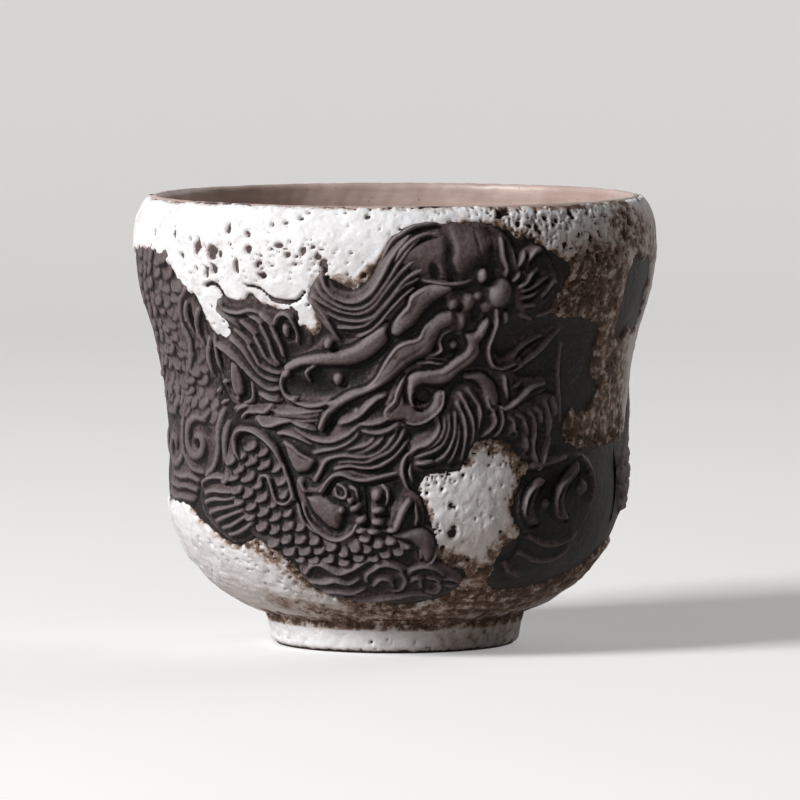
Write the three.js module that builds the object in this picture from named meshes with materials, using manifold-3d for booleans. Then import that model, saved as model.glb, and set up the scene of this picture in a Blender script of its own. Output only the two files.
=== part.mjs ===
// A tea cup in dark stoneware: a thrown wall on a luted foot ring, a dragon in raised sprigs round the wall,
// and coats of thick white slip over the rim, the belly, the underside and the foot.
// Millimetres, +Z up. The origin is the middle of the foot's flat, on the table. The front faces -Y.
import * as THREE from 'three';
import { mergeVertices } from 'three/addons/utils/BufferGeometryUtils.js';
import Module from 'manifold-3d';

const wasm = await Module();
wasm.setup();

// Driving dimensions of the thrown body
const cupHeight = 65; // table to the top of the coated lip
const shoulderRadius = 37.2; // clay wall at its widest
const shoulderHeight = 58;
const flareRadius = 33.8; // where the wall turns out towards the shoulder
const flareHeight = 41;
const waistRadius = 32.6;
const waistHeight = 30;
const bowlRadius = 32.7; // low swelling under the waist
const bowlHeight = 23;
const lipRadius = 35.2; // middle of the rounded lip
const lipThickness = 2;
const wallThickness = 3.4;
const floorThickness = 4.2;
const floorRadius = 11; // flat middle of the floor inside

// Driving dimensions of the foot
const footHeight = 4.6;
const footTopRadius = 18.3;
const footFlatRadius = 16.9; // outer edge of the flat that stands on the table
const footFlatWidth = 3.3;
const footRoundness = 0.5;
const wellRadius = 13; // hollow inside the ring, at the floor

// Driving dimensions of the coats and the sprigs
const slipThickness = 0.4;
const linerThickness = 0.35;
const coatGap = 0.05; // between a coat and the clay under it
const luteGap = 0.16; // layer of lute under a sprig
const seamGap = 0.2; // between two sprigs that meet
const leafThickness = 0.4; // of the thin leaf of clay that carries a sprig's ornament, with its lute
const ridgeHeight = 1.15; // a strand of the mane over the wall
const strandWidth = 1.1;
const scaleLength = 2.5;
const coilHeight = 0.8; // the body's long coil on the back, over the wall

// The ornament is drawn on a strip ruled into rows from the table to the lip, and stretches with the wall
const stripRows = 65;
const unit = cupHeight / stripRows;

// Fineness of the facets
const roundSteps = 28;
const wallRows = 12;
const innerRows = 7;
const ridgeStep = 5; // between two sections of a long ridge

// The outline of the body: its outside from the foot to the lip, the lip, and its inside down to the floor
const lipTop = cupHeight - slipThickness - coatGap;
const lipMiddle = lipTop - lipThickness / 2;
const floorTop = footHeight + floorThickness;

function between(a, b, share) {
  return a + (b - a) * share;
}

function at(radius, height) {
  return new THREE.Vector2(radius, height);
}

function smoothRun(points, steps) {
  const corners = points.map(([radius, height]) => new THREE.Vector3(radius, height, 0));
  const curve = new THREE.CatmullRomCurve3(corners, false, 'centripetal');
  return curve.getSpacedPoints(steps).map((p) => at(p.x, p.y));
}

// The turn from the foot into the bowl is a quarter of a superellipse, leaner than a circle
function bowlTurn(share) {
  const leanness = 1.22;
  const turn = share * Math.PI / 2;
  const radius = between(footTopRadius, bowlRadius, Math.sin(turn) ** leanness);
  return [radius, between(footHeight, bowlHeight, 1 - Math.cos(turn) ** leanness)];
}

const lipStart = 0.2; // the wall still leans inwards where the round of the lip begins
const lipRound = lipThickness / 2;
const lipArc = new THREE.EllipseCurve(lipRadius, lipMiddle, lipRound, lipRound, lipStart, Math.PI);
const lipRun = lipArc.getPoints(4);
const outerRun = smoothRun([
  ...[0, 0.2, 0.4, 0.6, 0.8].map(bowlTurn),
  [bowlRadius, bowlHeight],
  [waistRadius, waistHeight],
  [flareRadius, flareHeight],
  [between(flareRadius, shoulderRadius, 0.7), between(flareHeight, shoulderHeight, 0.54)],
  [shoulderRadius, shoulderHeight],
  [between(shoulderRadius, lipRun[0].x, 0.4), between(shoulderHeight, lipRun[0].y, 0.55)],
  [lipRun[0].x, lipRun[0].y],
], wallRows);
const bowlInside = bowlRadius - wallThickness;
const innerRun = smoothRun([
  [lipRun.at(-1).x, lipRun.at(-1).y],
  [shoulderRadius - wallThickness, shoulderHeight],
  [flareRadius - wallThickness, flareHeight],
  [waistRadius - wallThickness, waistHeight],
  [bowlInside, bowlHeight],
  [between(floorRadius, bowlInside, 0.78), between(floorTop, bowlHeight, 0.3)],
  [between(floorRadius, bowlInside, 0.4), between(floorTop, bowlHeight, 0.06)],
  [floorRadius, floorTop],
], innerRows);

// Surfaces of revolution, drawn as runs of [radius, height]
function revolve(run) {
  const geometry = new THREE.LatheGeometry(run, roundSteps);
  geometry.rotateX(Math.PI / 2);
  return geometry;
}

// Moves a run square to itself, to its right as seen along the run, so that its facets stay parallel
function offsetRun(run, distance) {
  return run.map((point, i) => {
    const before = point.clone().sub(run[Math.max(i - 1, 0)]).normalize();
    const after = run[Math.min(i + 1, run.length - 1)].clone().sub(point).normalize();
    const square = before.clone().add(after).normalize();
    const leaning = Math.max(square.dot(i > 0 ? before : after), 0.5);
    return at(point.x + square.y * distance / leaning, point.y - square.x * distance / leaning);
  });
}

// Turns a geometry into a solid that can be joined and cut, and back
function solidOf(geometry) {
  const bare = new THREE.BufferGeometry();
  bare.setAttribute('position', (geometry.index ? geometry.toNonIndexed() : geometry).getAttribute('position'));
  const merged = mergeVertices(bare, 1e-4);
  const corners = [];
  for (let i = 0; i < merged.index.count; i += 3) {
    const face = [0, 1, 2].map((k) => merged.index.getX(i + k));
    if (new Set(face).size === 3) corners.push(...face);
  }
  return new wasm.Manifold(new wasm.Mesh({
    numProp: 3,
    vertProperties: merged.getAttribute('position').array,
    triVerts: new Uint32Array(corners),
  }));
}

function geometryOf(solid) {
  const mesh = solid.getMesh();
  const geometry = new THREE.BufferGeometry();
  geometry.setAttribute('position', new THREE.BufferAttribute(mesh.vertProperties, 3));
  geometry.setIndex(new THREE.BufferAttribute(mesh.triVerts, 1));
  geometry.computeVertexNormals();
  return geometry;
}

function join(solids) {
  return solids.reduce((whole, next) => whole.add(next));
}

// Places on the wall: an angle in degrees from the front, to the right, and a height on the ornament's strip
function wallAt(height) {
  const above = outerRun.findIndex((point) => point.y > height);
  const high = Math.max(above < 0 ? outerRun.length - 1 : above, 1);
  const low = outerRun[high - 1];
  const top = outerRun[high];
  const slope = top.clone().sub(low).normalize();
  return { radius: between(low.x, top.x, (height - low.y) / (top.y - low.y)), slope };
}

function onWall(angle, height, proud) {
  const { radius, slope } = wallAt(height);
  const reach = radius + slope.y * proud;
  const turn = THREE.MathUtils.degToRad(angle);
  return new THREE.Vector3(reach * Math.sin(turn), -reach * Math.cos(turn), height - slope.x * proud);
}

const degree = THREE.MathUtils.degToRad(waistRadius); // length of a degree round the waist
const rootDepth = 1; // every ridge and boss is drawn into the wall this far, and then cut to sit on it

// Closes a row of like sections into a solid, with a flat cap on both ends or joined end to start
function loft(sections, ring) {
  const size = sections[0].length;
  const corners = sections.flat();
  const positions = [];
  const put = (...face) => face.forEach((k) => positions.push(...corners[k]));
  sections.forEach((section, i) => {
    const next = (i + 1) % sections.length;
    if (next === 0 && !ring) return;
    for (let j = 0; j < size; j += 1) {
      const beside = (j + 1) % size;
      put(i * size + j, next * size + beside, i * size + beside);
      put(i * size + j, next * size + j, next * size + beside);
    }
  });
  if (!ring) {
    const last = (sections.length - 1) * size;
    for (let j = 1; j < size - 1; j += 1) {
      put(0, j, j + 1);
      put(last, last + j + 1, last + j);
    }
  }
  const geometry = new THREE.BufferGeometry();
  geometry.setAttribute('position', new THREE.Float32BufferAttribute(positions, 3));
  return geometry;
}

const roundCrown = [[-0.8, 0.55], [0, 1], [0.8, 0.55]];
const sharpCrown = [[0, 1]];
const flatCrown = [[-1, 1], [1, 1]];
const roundFrom = 1.5; // strands from this width up are rounded, and finer ones pinched to a crest

// A ridge of clay along a run of [angle, level] points on the wall, with its size at both ends given as shares
function ridge(run, width, height, ends, crown, grow) {
  const corners = run.map(([angle, level]) => new THREE.Vector3(angle * degree, level * unit, 0));
  const curve = new THREE.CatmullRomCurve3(corners, false, 'centripetal');
  const steps = Math.max(3, run.length - 1, Math.round(curve.getLength() / ridgeStep));
  const sections = [];
  for (let i = 0; i <= steps; i += 1) {
    const share = i / steps;
    const point = curve.getPointAt(share);
    const along = curve.getTangentAt(share);
    const { radius, slope } = wallAt(point.y);
    const turn = THREE.MathUtils.degToRad(radius);
    const lean = Math.max(slope.y, 0.3);
    const heading = at(along.x * turn / degree, along.y / lean).normalize();
    const fade = between(between(ends[0], ends[1], share), 1, Math.sin(share * Math.PI) ** 0.6);
    const half = width / 2 * fade + grow;
    const top = height * fade + grow;
    const place = (side, proud) => {
      const angle = point.x / degree - heading.y * side * half / turn;
      return onWall(angle, point.y + heading.x * side * half * lean, proud);
    };
    const crest = crown.map(([side, rise]) => place(side, top * rise));
    sections.push([place(1, -rootDepth), place(-1, -rootDepth), ...crest]);
  }
  return solidOf(loft(sections, false));
}

// Strands are sized in widths and heights of the common strand, and bands in its widths alone
const strand = (run, width = 1, height = 1, ends = [0.4, 0.4]) => (grow) => {
  const crown = width < roundFrom ? sharpCrown : roundCrown;
  return ridge(run, width * strandWidth, height * ridgeHeight, ends, crown, grow);
};
const band = (run, width) => (grow) => ridge(run, width * strandWidth, coilHeight, [1, 1], flatCrown, grow);

// A low round boss, such as a knob, an eye or the snout, as wide and tall as so many rows of the strip
const boss = (angle, level, wide, tall, height = 1) => (grow) => {
  const geometry = new THREE.SphereGeometry(1, 6, 3);
  geometry.scale(wide * unit / 2 + grow, height * ridgeHeight + grow, tall * unit / 2 + grow);
  geometry.rotateZ(THREE.MathUtils.degToRad(angle));
  geometry.translate(...onWall(angle, level * unit, leafThickness / 2));
  return solidOf(geometry);
};

// One scale of the body, a low four-sided point of clay
const scale = (angle, level, length, height) => (grow) => {
  const geometry = new THREE.ConeGeometry(length / 2 + grow, height + rootDepth + grow, 4);
  geometry.rotateX(Math.PI);
  geometry.rotateZ(THREE.MathUtils.degToRad(angle));
  geometry.translate(...onWall(angle, level * unit, (height - rootDepth + grow) / 2));
  return solidOf(geometry);
};

// A plug that points out from the axis at an angle, with an outline of [angle, level] points on the wall
function plug(outline, middle, grow) {
  const corners = outline.map(([angle, level]) => {
    const { radius } = wallAt(level * unit);
    return at(radius * Math.sin(THREE.MathUtils.degToRad(angle - middle)), level * unit);
  });
  const loop = offsetRun([corners.at(-1), ...corners, corners[0]], grow).slice(1, -1);
  const depth = shoulderRadius * 1.5;
  const geometry = new THREE.ExtrudeGeometry(new THREE.Shape(loop), { depth, bevelEnabled: false, steps: 1 });
  geometry.rotateX(Math.PI / 2);
  geometry.rotateZ(THREE.MathUtils.degToRad(middle));
  return solidOf(geometry);
}

function wallSolid(proud) {
  return solidOf(revolve([at(0, footHeight - rootDepth), ...offsetRun(outerRun, proud), at(0, lipTop)]));
}

// The leaf of clay under a sprig's ornament, with an outline that runs round to the left as seen from outside
const leaf = (outline) => (grow) => {
  const middle = outline.reduce((sum, [angle]) => sum + angle, 0) / outline.length;
  return wallSolid(leafThickness + grow).intersect(plug(outline, middle, grow));
};

// A sprig is a leaf of clay with ridges and bosses on it, cut to the luted wall and to the sprigs beside it
const lutedWall = wallSolid(luteGap);

function sprig(marks, neighbours = []) {
  const shape = join(marks.map((mark) => mark(0)));
  const cut = neighbours.flat().map((mark) => mark(seamGap));
  return cut.reduce((whole, tool) => whole.subtract(tool), shape.subtract(lutedWall));
}

// The dragon's head in profile, facing right with its mouth open
const headMarks = [
  leaf([[24, 58.6], [16, 60.4], [8, 60.2], [4, 58.4], [4.6, 54.6], [11, 53], [12, 50], [10.6, 46], [8, 43.8],
    [3.4, 42.6], [-0.6, 39], [-1.6, 35.4], [3, 33.6], [8, 33.8], [12.6, 36.4], [13.6, 40], [17.6, 41.6],
    [21.4, 43], [24, 41.2], [29, 41], [36, 44.2], [42, 46.4], [41.4, 47.6], [34, 47], [27.6, 45.6],
    [24.4, 44.6], [24, 48], [27.2, 49], [27.2, 52.4], [26, 56]]),
  strand([[5, 57.4], [10, 58.1], [15, 57.9], [20, 56.6]], 4, 0.9),
  boss(23.3, 52.4, 4, 4.8, 1.5),
  boss(25.3, 49.8, 1.4, 2.2),
  boss(19.2, 55.1, 1.9, 2.5, 1.3),
  boss(16.8, 51.9, 2.2, 2.4, 1.2),
  boss(13.6, 51.2, 1.6, 1.8),
  strand([[15, 51], [14.8, 49], [15.2, 47.2]], 1.1, 1, [0.6, 0.3]),
  boss(13.6, 45.2, 1.5, 1.6, 1.1),
  strand([[9.4, 43.1], [11.4, 44.4], [12, 46.6], [15.2, 46.9]], 0.8),
  strand([[20.4, 49], [18.6, 45.8], [14.6, 42], [10.5, 40.6], [6.6, 40.1], [4.4, 38.6], [5.2, 36.4],
    [7.8, 36.4]], 1.9, 1.1, [0.7, 0.4]),
  strand([[12.2, 39], [11.2, 36.2], [6.8, 34.4], [2.4, 34.7], [-0.2, 35.6], [1.6, 39.6], [5.6, 42.1],
    [9.6, 42.7]], 1.2),
  strand([[22.6, 50.4], [22.4, 47.4], [22, 45], [22.8, 43.1], [25.2, 42.1], [28.6, 42]], 1.2, 1.2, [0.8, 0.8]),
  strand([[28, 41.9], [31.4, 43.1], [35, 44.7], [41, 46.9]], 1.2, 1.2, [0.8, 0.3]),
  strand([[26.2, 42.3], [29.4, 44.7], [32.4, 45.7], [35.2, 46.2]], 1, 1, [0.8, 0.3]),
];

// The lower jaw with its teeth and chin whisker
const jawMarks = [
  leaf([[39, 40], [34, 40], [30.6, 38.8], [28.8, 40.8], [25.8, 41.4], [23.6, 40.6], [20.4, 41.6], [16.4, 41.4],
    [16.4, 39.8], [20, 39.2], [24, 36.6], [27, 35.6], [31, 36.6], [34.6, 38], [39, 38.6]]),
  strand([[17, 40.7], [20.4, 40.6], [23, 39.5], [25, 37.6], [27.4, 36.6], [31, 37.8], [34, 39], [38.6, 39.3]],
    1.5, 1, [0.4, 0.3]),
  strand([[26.6, 40.6], [27.2, 39], [27.8, 37.2]], 0.9, 1, [0.3, 0.9]),
];

// Fine bristles that fan out in front of the snout
const bristleMarks = [
  leaf([[35, 53], [34.8, 55.2], [32.4, 56.4], [29, 55.2], [27, 54], [27.8, 51.6], [31, 51.7]]),
  strand([[27.6, 53.7], [29.6, 54.6], [31.8, 55.8]], 0.7, 0.8),
  strand([[28, 53], [31, 53.7], [34, 54.8]], 0.7, 0.8),
  strand([[28.4, 52.1], [31.4, 52.5], [34.4, 53.4]], 0.7, 0.8),
];

// Two horns that sweep back from the brow to the left, each with its knobs
const hornMarks = [
  leaf([[9, 53.4], [4, 51.6], [-4, 47.8], [-9, 46.2], [-14.6, 46.8], [-19, 44.8], [-23, 43.8], [-27, 41.6],
    [-27.8, 38], [-25, 36.4], [-15.4, 34.8], [-18.8, 33], [-17, 32.2], [-13.8, 35], [-11, 36.8], [-4, 40],
    [0, 42.8], [5, 46.2], [11, 49.6]]),
  strand([[10, 50.4], [4.6, 47.4], [-1, 43.6], [-4.4, 41.2], [-8.4, 39.3], [-12.4, 37.9], [-17.6, 33.4]],
    2, 1.2, [0.8, 0.7]),
  strand([[8, 52.4], [2, 49.1], [-4, 46], [-9, 44.4], [-14, 43.6], [-19, 42.9], [-25.8, 40.4], [-26.2, 38.6],
    [-24.4, 37.6]], 2.5, 1.2, [0.8, 0.4]),
  strand([[9.4, 51.8], [8.4, 50.6], [7.8, 49.4]], 1.5, 1, [0.9, 0.9]),
  strand([[-18.8, 42.8], [-20.6, 41.4], [-19.4, 40.2]], 1.1, 1.1, [0.9, 0.5]),
  boss(-14.6, 45.2, 1.8, 1.9, 1.1),
  boss(-13, 40.3, 2, 2),
  strand([[-24.4, 37.6], [-20, 36.8], [-15.4, 36.6]], 0.8, 0.8, [0.8, 0.8]),
];

// Strands that rise from the neck under the rim and turn left over the horns
const maneUpperMarks = [
  leaf([[3.6, 59.8], [0.4, 59], [-3.2, 55.8], [-5.6, 53.4], [-9, 52.5], [-12.8, 52.8], [-16, 51.6], [-16, 48.8],
    [-12, 47.4], [-10.8, 46], [-7, 46.2], [-3, 48], [1, 50], [4.6, 52.2], [4.4, 56]]),
  strand([[2.4, 59], [-0.4, 57], [-2.8, 54.4], [-5.2, 52.2], [-8.6, 51.4], [-12.2, 51.9]]),
  strand([[3, 56.6], [0.4, 54.8], [-2, 52.4], [-4.8, 50.6], [-8.6, 49.9], [-12.4, 50.1], [-15, 51]]),
  strand([[3.4, 54.6], [0.4, 52.6], [-2.2, 50.6], [-5.2, 49.1], [-8.8, 48.4], [-12.4, 48.4], [-15.2, 49.4]]),
  strand([[3.6, 52.8], [0.2, 50.6], [-3.4, 48.6], [-7, 47.2], [-10.4, 46.9]]),
];

// Strands on the left, in long curves that fall from the run of white slip to the horn's tip
const maneLeftMarks = [
  leaf([[-22, 45.6], [-24.4, 47.4], [-27, 47.8], [-31, 49], [-35.6, 49.3], [-36, 46], [-38, 44.4], [-45, 44.5],
    [-45.2, 42.7], [-42.6, 41.8], [-42.6, 37.2], [-38.4, 37], [-37.6, 39.6], [-33, 37.9], [-28.4, 37.7],
    [-27.6, 42.6], [-22, 43.6]]),
  strand([[-35.6, 48.8], [-32.4, 48.2], [-30, 46.4], [-27.2, 44.9], [-22.6, 44.7]]),
  strand([[-35.2, 46.8], [-33.4, 44.6], [-31.4, 42.4], [-28.6, 41.5]]),
  strand([[-36.4, 44.6], [-34.6, 42.6], [-32.4, 40.8], [-29.2, 39.9]]),
  strand([[-44.6, 43.6], [-41, 42.3], [-37.4, 40.8], [-34, 39.3], [-31, 38.5], [-28.8, 38.6]]),
  strand([[-40.8, 42.4], [-40.5, 40], [-40.1, 37.8]], 2.4, 1, [0.7, 0.5]),
  boss(-25.4, 46.4, 2, 2.4),
];

// Strands below the horns, which run left from the beard and drop between them
const maneLowerMarks = [
  leaf([[-1.6, 38.4], [-5.6, 38], [-10, 35.4], [-13.2, 34.4], [-14.6, 32.3], [-18.4, 32.3], [-24, 34.1],
    [-33.6, 35.1], [-33.4, 33.4], [-28, 32.2], [-28.4, 30], [-21, 27.4], [-20, 25.4], [-18.2, 25.6],
    [-13, 26.5], [-7, 26.3], [-2, 27.3], [2.8, 31], [2, 33.6], [-1, 34]]),
  strand([[-33, 34.3], [-28.6, 33.7], [-24.4, 33], [-21.4, 31.9], [-18.4, 31.3], [-14.4, 31.3], [-11, 31.8],
    [-8.4, 33.4]]),
  strand([[-27.4, 30.8], [-24, 29.5], [-20.8, 28.6]], 2, 0.9),
  strand([[-19.4, 26.2], [-18, 27.4], [-16, 28.6], [-12.6, 29], [-8, 28.8], [-3.8, 29.5], [-1, 31.2],
    [0.6, 33]]),
  strand([[-13, 27.6], [-8, 27.3], [-3.6, 28], [-0.2, 29.6], [2, 31.6]]),
  strand([[-12, 30], [-7.8, 30.2], [-5, 31.1], [-3, 32.6]]),
  strand([[-12.6, 33.5], [-9.8, 34.3], [-7, 35.5], [-4.6, 36.9], [-2, 37.6]], 1.1, 1.1),
  strand([[-12.4, 33.5], [-8.6, 33], [-5, 32.5], [-2.4, 32.8]]),
];

// Strands under the horn's tip, short and nearly level
const maneWispMarks = [
  leaf([[-19.6, 36.3], [-25, 36.6], [-30, 37], [-34.8, 37.6], [-34.6, 35.1], [-28, 34.4], [-22.6, 34.1],
    [-19.8, 34.9]]),
  strand([[-34, 36.8], [-30, 36.2], [-25, 35.9], [-20, 35.6]], 0.8, 0.9),
  strand([[-33, 35.7], [-28, 35.2], [-23, 34.9]], 0.8, 0.9),
];

// The beard, in arcs that hang from the jaw
const beardMarks = [
  leaf([[22.8, 38], [18, 38.6], [15.4, 38], [12.6, 36.4], [10.2, 35.2], [8, 32.2], [3, 30.2], [2, 27.4],
    [5, 27.3], [12, 28.1], [15.6, 28.1], [18, 30.8], [21.8, 32.5], [23.2, 34.6]]),
  strand([[10.8, 34.6], [10.9, 33.2], [9.2, 31.6], [6, 30.4], [3.6, 29.4], [2.8, 27.8]]),
  strand([[13.2, 36], [13.4, 33.6], [12.2, 31.4], [9.8, 29.9], [6.6, 29.1], [5, 28.2]]),
  strand([[15, 37], [15.5, 34.6], [15.1, 32.2], [13.8, 30.2], [12.4, 29]]),
  strand([[16, 37.6], [17.3, 35.6], [17.6, 33.2], [17.1, 30.8], [16.4, 29]]),
  strand([[18, 38], [19.6, 36], [20, 34], [19.4, 31.8]]),
  strand([[20.4, 37.8], [21.8, 36], [22, 34.2], [21.4, 32.8]]),
];

// The claw under the mane: a smooth palm with three knuckled toes
const clawMarks = [
  leaf([[1.4, 26.4], [-6, 26.5], [-10, 26.8], [-15, 27], [-18, 25.7], [-21, 25], [-24.6, 26.3], [-24.8, 24.9],
    [-22.4, 23.6], [-23, 22], [-20, 20], [-14, 18.8], [-10, 18.3], [-5, 18.5], [0, 18.9], [5, 18.7],
    [6.8, 20], [6.6, 22.4], [3.4, 23.8], [1.6, 25]]),
  strand([[-24, 25.6], [-20.6, 24.3], [-17.6, 24.9], [-14.6, 26.3], [-10, 25.9], [-6, 25.6], [0.6, 25.6]]),
  strand([[-21.4, 22.8], [-17.4, 21.7], [-13.4, 20.6]], 3.5, 1.3, [0.7, 0.8]),
  strand([[-13.6, 24.6], [-10.8, 24], [-9, 22.4], [-8, 20.5], [-8.8, 19.2]], 1.5, 1.2, [0.5, 0.8]),
  strand([[-6.4, 25.2], [-4.6, 24.2], [-3.9, 22.4], [-4, 20.6], [-4.8, 19.3]], 1.6, 1.2, [0.6, 0.7]),
  strand([[3, 23], [1.7, 21.6], [0.6, 20]], 1.7, 1.2, [0.6, 0.6]),
  strand([[5.2, 22.8], [6, 21.2], [5.6, 19.6]], 1.2),
];

// Rows of overlapping scales along a run, set out by the length of one scale
function scaleRows(run, rows, length) {
  const corners = run.map(([angle, level]) => new THREE.Vector3(angle * degree, level * unit, 0));
  const curve = new THREE.CatmullRomCurve3(corners, false, 'centripetal');
  const count = Math.max(1, Math.round(curve.getLength() / length));
  const marks = [];
  for (let i = 0; i < count; i += 1) {
    const share = (i + 0.5) / count;
    const point = curve.getPointAt(share);
    const heading = curve.getTangentAt(share);
    for (let row = 0; row < rows; row += 1) {
      const across = (row - (rows - 1) / 2) * length * 0.86;
      const shift = row % 2 ? length / 2 : 0;
      const angle = (point.x + heading.x * shift - heading.y * across) / degree;
      const level = (point.y + heading.y * shift + heading.x * across) / unit;
      marks.push(scale(angle, level, length * 1.04, ridgeHeight * 0.9));
    }
  }
  return marks;
}

// The scaled body: a broad coil on the left with a smooth rim, and its narrower length along the bottom
const coilMarks = [
  leaf([[-42.4, 33], [-44, 31], [-43.6, 28], [-41.8, 25], [-39, 21.6], [-35, 18.2], [-29, 15.8], [-22, 14.3],
    [-14, 14], [-4, 14.4], [5, 15.4], [5.4, 17.8], [-4, 17.3], [-11, 18.8], [-15, 18.3], [-19, 18.9],
    [-22, 20.2], [-25, 23.6], [-28, 28], [-31.6, 31.9], [-36, 33.4]]),
  strand([[-42.6, 28.8], [-42.8, 31], [-40.4, 32.5], [-36, 32.6], [-31.4, 31.2], [-27.4, 27.4], [-24.4, 22],
    [-21.4, 19.2], [-15, 17.5], [-11.6, 17.9]], 0.9),
  strand([[-35.4, 25.4], [-33.4, 26.1], [-31.4, 25.6], [-30.4, 23.8], [-29, 22.4]], 0.8),
  ...scaleRows([[-38, 30.6], [-37.6, 28], [-35.4, 24], [-32, 20.4], [-28.6, 18.4]], 2, scaleLength * 1.2),
  ...scaleRows([[-27, 17], [-20, 15.9], [-12, 15.6], [-4, 16], [4, 17]], 1, scaleLength * 0.86),
];

// A swirl of fine strokes to the left of the coil
const swirlMarks = [
  leaf([[-41.8, 23.9], [-46, 24.5], [-50, 24.3], [-53.6, 23.3], [-52.4, 20.4], [-50, 18.9], [-46, 19],
    [-40, 18.6], [-39.4, 20.4], [-41, 22]]),
  strand([[-53, 22.6], [-49.4, 23.6], [-45.6, 23.6], [-42.6, 23]], 0.8, 0.9),
  strand([[-51.6, 21], [-48, 22], [-44.4, 22], [-41.6, 21.4]], 0.8, 0.9),
  strand([[-49.6, 19.8], [-46.4, 20.6], [-43, 20.4], [-40.4, 19.6]], 0.8, 0.9),
];

// Cloud scrolls on the left side of the wall, low and broad
const cloudLeftMarks = [
  leaf([[-48, 34], [-54, 35.2], [-60, 35.5], [-66, 35.1], [-73, 33.2], [-74.2, 29], [-71, 27.7], [-66, 27.8],
    [-61, 26.6], [-55, 25.7], [-50.4, 26.2], [-47.4, 28]]),
  strand([[-50.6, 33.2], [-49.2, 30.8], [-49.8, 28.4]], 2.9, 1, [0.6, 0.6]),
  strand([[-51, 27.4], [-55, 26.8], [-60.6, 28], [-61.6, 30.6], [-58, 31.8], [-55.6, 30]], 1.1, 0.9),
  strand([[-54, 34], [-60, 34.4], [-66, 34], [-72, 32.2], [-72.6, 29.4], [-67.4, 28.8]], 1.1, 0.9),
];
const cloudHighMarks = [
  leaf([[-52.6, 42.6], [-53, 45], [-58, 48.2], [-69, 48.6], [-75, 46], [-74.6, 42.4], [-69.4, 41],
    [-57.4, 41]]),
  ...[[-57.4, 42.8], [-63.4, 42.4], [-69.4, 42.6], [-60, 45.6], [-66.6, 45.4], [-64, 47.6]]
    .map(([a, z]) => strand([[a + 4, z + 0.8], [a, z - 0.6], [a - 4, z + 0.6]], 1.1, 0.9)),
];

// Cloud scrolls between the coil and the foot, with a spiral in the middle
const cloudLowMarks = [
  leaf([[-8, 14], [-14, 13.8], [-20, 14.1], [-25.4, 13.5], [-25.4, 12], [-19, 9.5], [-10, 9.1], [0, 9],
    [7, 9.3], [13, 9.6], [17.2, 10.9], [17, 12], [12.6, 13.5], [8, 14.1], [1, 14.2]]),
  strand([[-25, 12.6], [-20, 13.4], [-13, 12.9], [-9, 13.4]], 1.2),
  strand([[-7.4, 11.6], [-6, 13], [-2.6, 13.7], [1, 13.2], [2.2, 11.6], [-0.4, 10.3], [-3.8, 11.2],
    [-2.6, 12.2]], 0.8),
  strand([[-18, 9.9], [-10, 9.7], [-2, 9.6], [6, 9.9]], 0.9, 0.9),
  strand([[4.6, 13.2], [8, 13.5], [12.4, 12.8], [16.4, 11.3], [14, 10.4], [9, 10.2]]),
];

// Two crescents on the right, which curl round hollows
const curlRightMarks = [
  leaf([[50, 26.4], [48.8, 27.3], [44, 25.3], [40, 24], [37, 25.3], [34, 24.4], [32.5, 22.4], [32.8, 20.4],
    [35.4, 19.2], [39, 19.8], [42.4, 20.4], [45.6, 19.8], [46, 21]]),
  strand([[37, 24.6], [34.8, 23.8], [33.4, 22.3], [33.7, 20.8], [35.4, 19.9], [38, 20.4]], 1.1, 1.1),
  strand([[49.4, 26.6], [46.6, 25.3], [44, 24.3], [42.5, 22.8], [43, 21.3], [45.4, 20.4]], 1.2, 1.1),
];

// The back: the body comes round in one long coil with its tail fin, over a bank of clouds
const backRun = [[80, 23], [94, 29], [110, 37.4], [126, 41], [142, 38.4], [156, 31.6], [170, 25], [186, 22.6],
  [202, 26], [214, 33], [226, 38.6], [238, 39.4]];
const backCoilMarks = [
  band(backRun, 5),
  ...scaleRows(backRun, 1, scaleLength * 1.6),
];
const tailFinMarks = [
  leaf([[239.4, 38.4], [247, 36.4], [253, 34.4], [254, 40.6], [253, 47.4], [247, 44.6], [239.4, 41.2]]),
  ...[-6, 0, 6].map((lean) => strand([[240.6, 39.6 + lean * 0.1], [244, 40.4 + lean * 0.4],
    [248, 41 + lean * 0.66], [252, 40.8 + lean * 0.9]], 2, 1, [1, 0.3])),
];
const backCloudMarks = [
  leaf([[111, 19.6], [127, 18.6], [140, 18.8], [145, 21], [144.4, 24.6], [137, 26.4], [131, 25], [125, 26.5],
    [117, 25], [111.2, 21.4]]),
  strand([[112, 20.6], [118, 23.8], [125, 25.4], [131, 24], [132, 21.2], [127.4, 19.8], [123.6, 21.4],
    [126, 23]], 1.2),
  strand([[131, 24], [137, 25.4], [143, 23.8], [143.6, 21], [139.4, 19.8], [136, 21.4]], 1.2),
];
const highCloudMarks = [
  leaf([[169, 40.4], [186, 40], [198, 40], [203.6, 42], [203, 45.6], [196, 47.7], [190, 46.4], [184, 47.7],
    [176, 46], [169.2, 42.2]]),
  strand([[170, 41.2], [177, 44.8], [184, 46.6], [190, 45.4], [191, 42.6], [186.4, 41.2], [182.4, 42.8],
    [185, 44.6]], 1.2),
  strand([[190, 45.4], [196, 46.6], [202, 45], [202.4, 42.4], [198, 41.2], [194.6, 42.8]], 1.2),
];

// Coats of slip: a skin over a stretch of the wall, trimmed along the line that the slip ran to
function coat(run, thickness) {
  const under = offsetRun(run, coatGap);
  const over = offsetRun(run, coatGap + thickness);
  return solidOf(revolve([...over, ...under.reverse(), over[0]]));
}

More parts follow.
